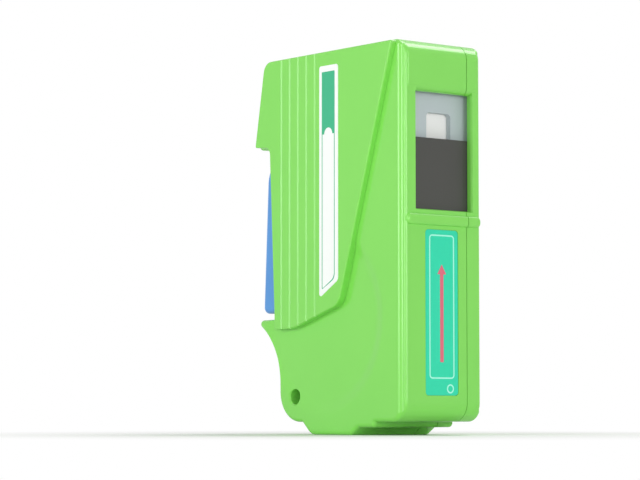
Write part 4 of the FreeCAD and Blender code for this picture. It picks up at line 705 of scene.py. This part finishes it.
# ---- Studio ------------------------------------------------------------------------------
def background_rays(tree: bpy.types.NodeTree) -> bpy.types.NodeSocket:
    """Tell the rays that show the background from those that light the part.

    Args:
        tree: Node tree that gets the nodes.

    Returns:
        A socket that is one for camera, glossy and transmission rays.
    """
    path = add_node(tree, "ShaderNodeLightPath")
    shown = path.outputs["Is Camera Ray"]
    for kind in ("Is Glossy Ray", "Is Transmission Ray"):
        shown = add_node(tree, "ShaderNodeMath", {"operation": "MAXIMUM"},
                         {0: shown, 1: path.outputs[kind]}).outputs[0]
    return shown


@dataclass(frozen=True)
class SoftBox:
    """A square soft lamp."""

    name: str
    place: tuple[float, float, float]
    size: float
    power: float


@dataclass
class Studio:
    """Camera, floor and soft light."""

    lens_mm: float = 137.64
    sensor_mm: float = 36.0
    clip_start: float = 10 * MM
    camera_place: tuple[float, float, float] = (-0.487725, -0.59138, 0.0070)
    camera_azimuth: float = math.radians(-38.42)
    camera_tilt: float = math.radians(4.02)
    ambient: float = 0.46
    lamps: tuple[SoftBox, ...] = (
        SoftBox("soft_box_overhead", (0.4, -0.05, 0.8), 0.4, 2.6),
        SoftBox("soft_box_side", (-0.95, 0.1, 0.25), 0.45, 3.4),
        SoftBox("soft_box_corner", (-0.72, -0.88, 0.17), 0.22, 2.0),
        SoftBox("soft_box_front", (-0.12, -1.0, 0.05), 0.5, 3.8),
    )
    floor_colour: str = "#F2F2F0"
    floor_roughness: float = 0.7
    floor_radius: float = 4.0
    floor_points: int = 96
    floor_drop: float = 0.02 * MM
    fade_start: float = 45 * MM
    fade_end: float = 160 * MM

    def build(self) -> None:
        """Build the camera, the lamps, the world and the floor."""
        self.camera()
        self.light()
        self.world()
        self.floor()
        bpy.context.scene.view_settings.view_transform = "Standard"

    def camera(self) -> None:
        """Place the camera low in front of the ribbed side, looking slightly up."""
        data = bpy.data.cameras.new("camera")
        data.lens = self.lens_mm
        data.sensor_width = self.sensor_mm
        data.clip_start = self.clip_start
        camera = bpy.data.objects.new("camera", data)
        camera.location = self.camera_place
        camera.rotation_euler = (math.pi / 2 + self.camera_tilt, 0.0, self.camera_azimuth)
        bpy.context.scene.collection.objects.link(camera)
        bpy.context.scene.camera = camera

    def light(self) -> None:
        """Hang the soft boxes, each aimed at the middle of the part."""
        low, high = CAD_BOX
        target = (low + high) / 2
        for box in self.lamps:
            data = bpy.data.lights.new(box.name, "AREA")
            data.shape = "SQUARE"
            data.size = box.size
            data.energy = box.power
            lamp = bpy.data.objects.new(box.name, data)
            lamp.location = box.place
            lamp.rotation_euler = (target - Vector(box.place)).to_track_quat("-Z", "Y").to_euler()
            bpy.context.scene.collection.objects.link(lamp)

    def world(self) -> None:
        """Light the part from all round and show white behind it."""
        world = bpy.data.worlds.new("studio_world")
        bpy.context.scene.world = world
        world.use_nodes = True
        tree = world.node_tree
        tree.nodes.clear()
        ambient = add_node(tree, "ShaderNodeBackground", {"Color": WHITE, "Strength": self.ambient})
        white = add_node(tree, "ShaderNodeBackground", {"Color": WHITE, "Strength": 1.0})
        mix = add_node(tree, "ShaderNodeMixShader", links={0: background_rays(tree), 1: ambient.outputs[0],
                                                           2: white.outputs[0]})
        add_node(tree, "ShaderNodeOutputWorld", links={"Surface": mix.outputs[0]})

    def floor(self) -> None:
        """Lay a plain pale floor that fades to white away from the part."""
        deselect()
        bpy.ops.mesh.primitive_circle_add(vertices=self.floor_points, radius=self.floor_radius,
                                          fill_type="NGON", location=(0.0, 0.0, -self.floor_drop))
        floor = bpy.context.object
        floor.name = "studio_floor"
        material, tree, shader = new_material("painted_studio_floor")
        shader.inputs["Base Color"].default_value = linear(self.floor_colour)
        shader.inputs["Roughness"].default_value = self.floor_roughness
        place = add_node(tree, "ShaderNodeTexCoord").outputs["Object"]
        reach = add_node(tree, "ShaderNodeVectorMath", {"operation": "LENGTH"}, {0: place})
        fade = add_node(tree, "ShaderNodeMapRange", {"From Min": self.fade_start, "From Max": self.fade_end},
                        {"Value": reach.outputs["Value"]})
        glow = add_node(tree, "ShaderNodeEmission", {"Color": WHITE, "Strength": 1.0})
        share = add_node(tree, "ShaderNodeMath", {"operation": "MULTIPLY"},
                         {0: fade.outputs["Result"], 1: background_rays(tree)})
        mix = add_node(tree, "ShaderNodeMixShader", links={0: share.outputs[0], 1: shader.outputs[0],
                                                           2: glow.outputs[0]})
        output = next(node for node in tree.nodes if node.type == "OUTPUT_MATERIAL")
        tree.links.new(mix.outputs[0], output.inputs["Surface"])
        floor.data.materials.append(material)


def main() -> None:
    """Build every sub-assembly, then the studio."""
    logging.basicConfig(level=logging.INFO, format="%(message)s")
    steel = TurnedSteel().build()
    acetal = WHITE_ACETAL.build()
    Housing().build(steel)
    SqueezeLever().build(acetal, steel)
    CleaningWindow().build()
    TapeDrive().build(acetal, steel)
    FrontLabel().build()
    SideLabel().build()
    Studio().build()


if __name__ == "__main__":
    main()
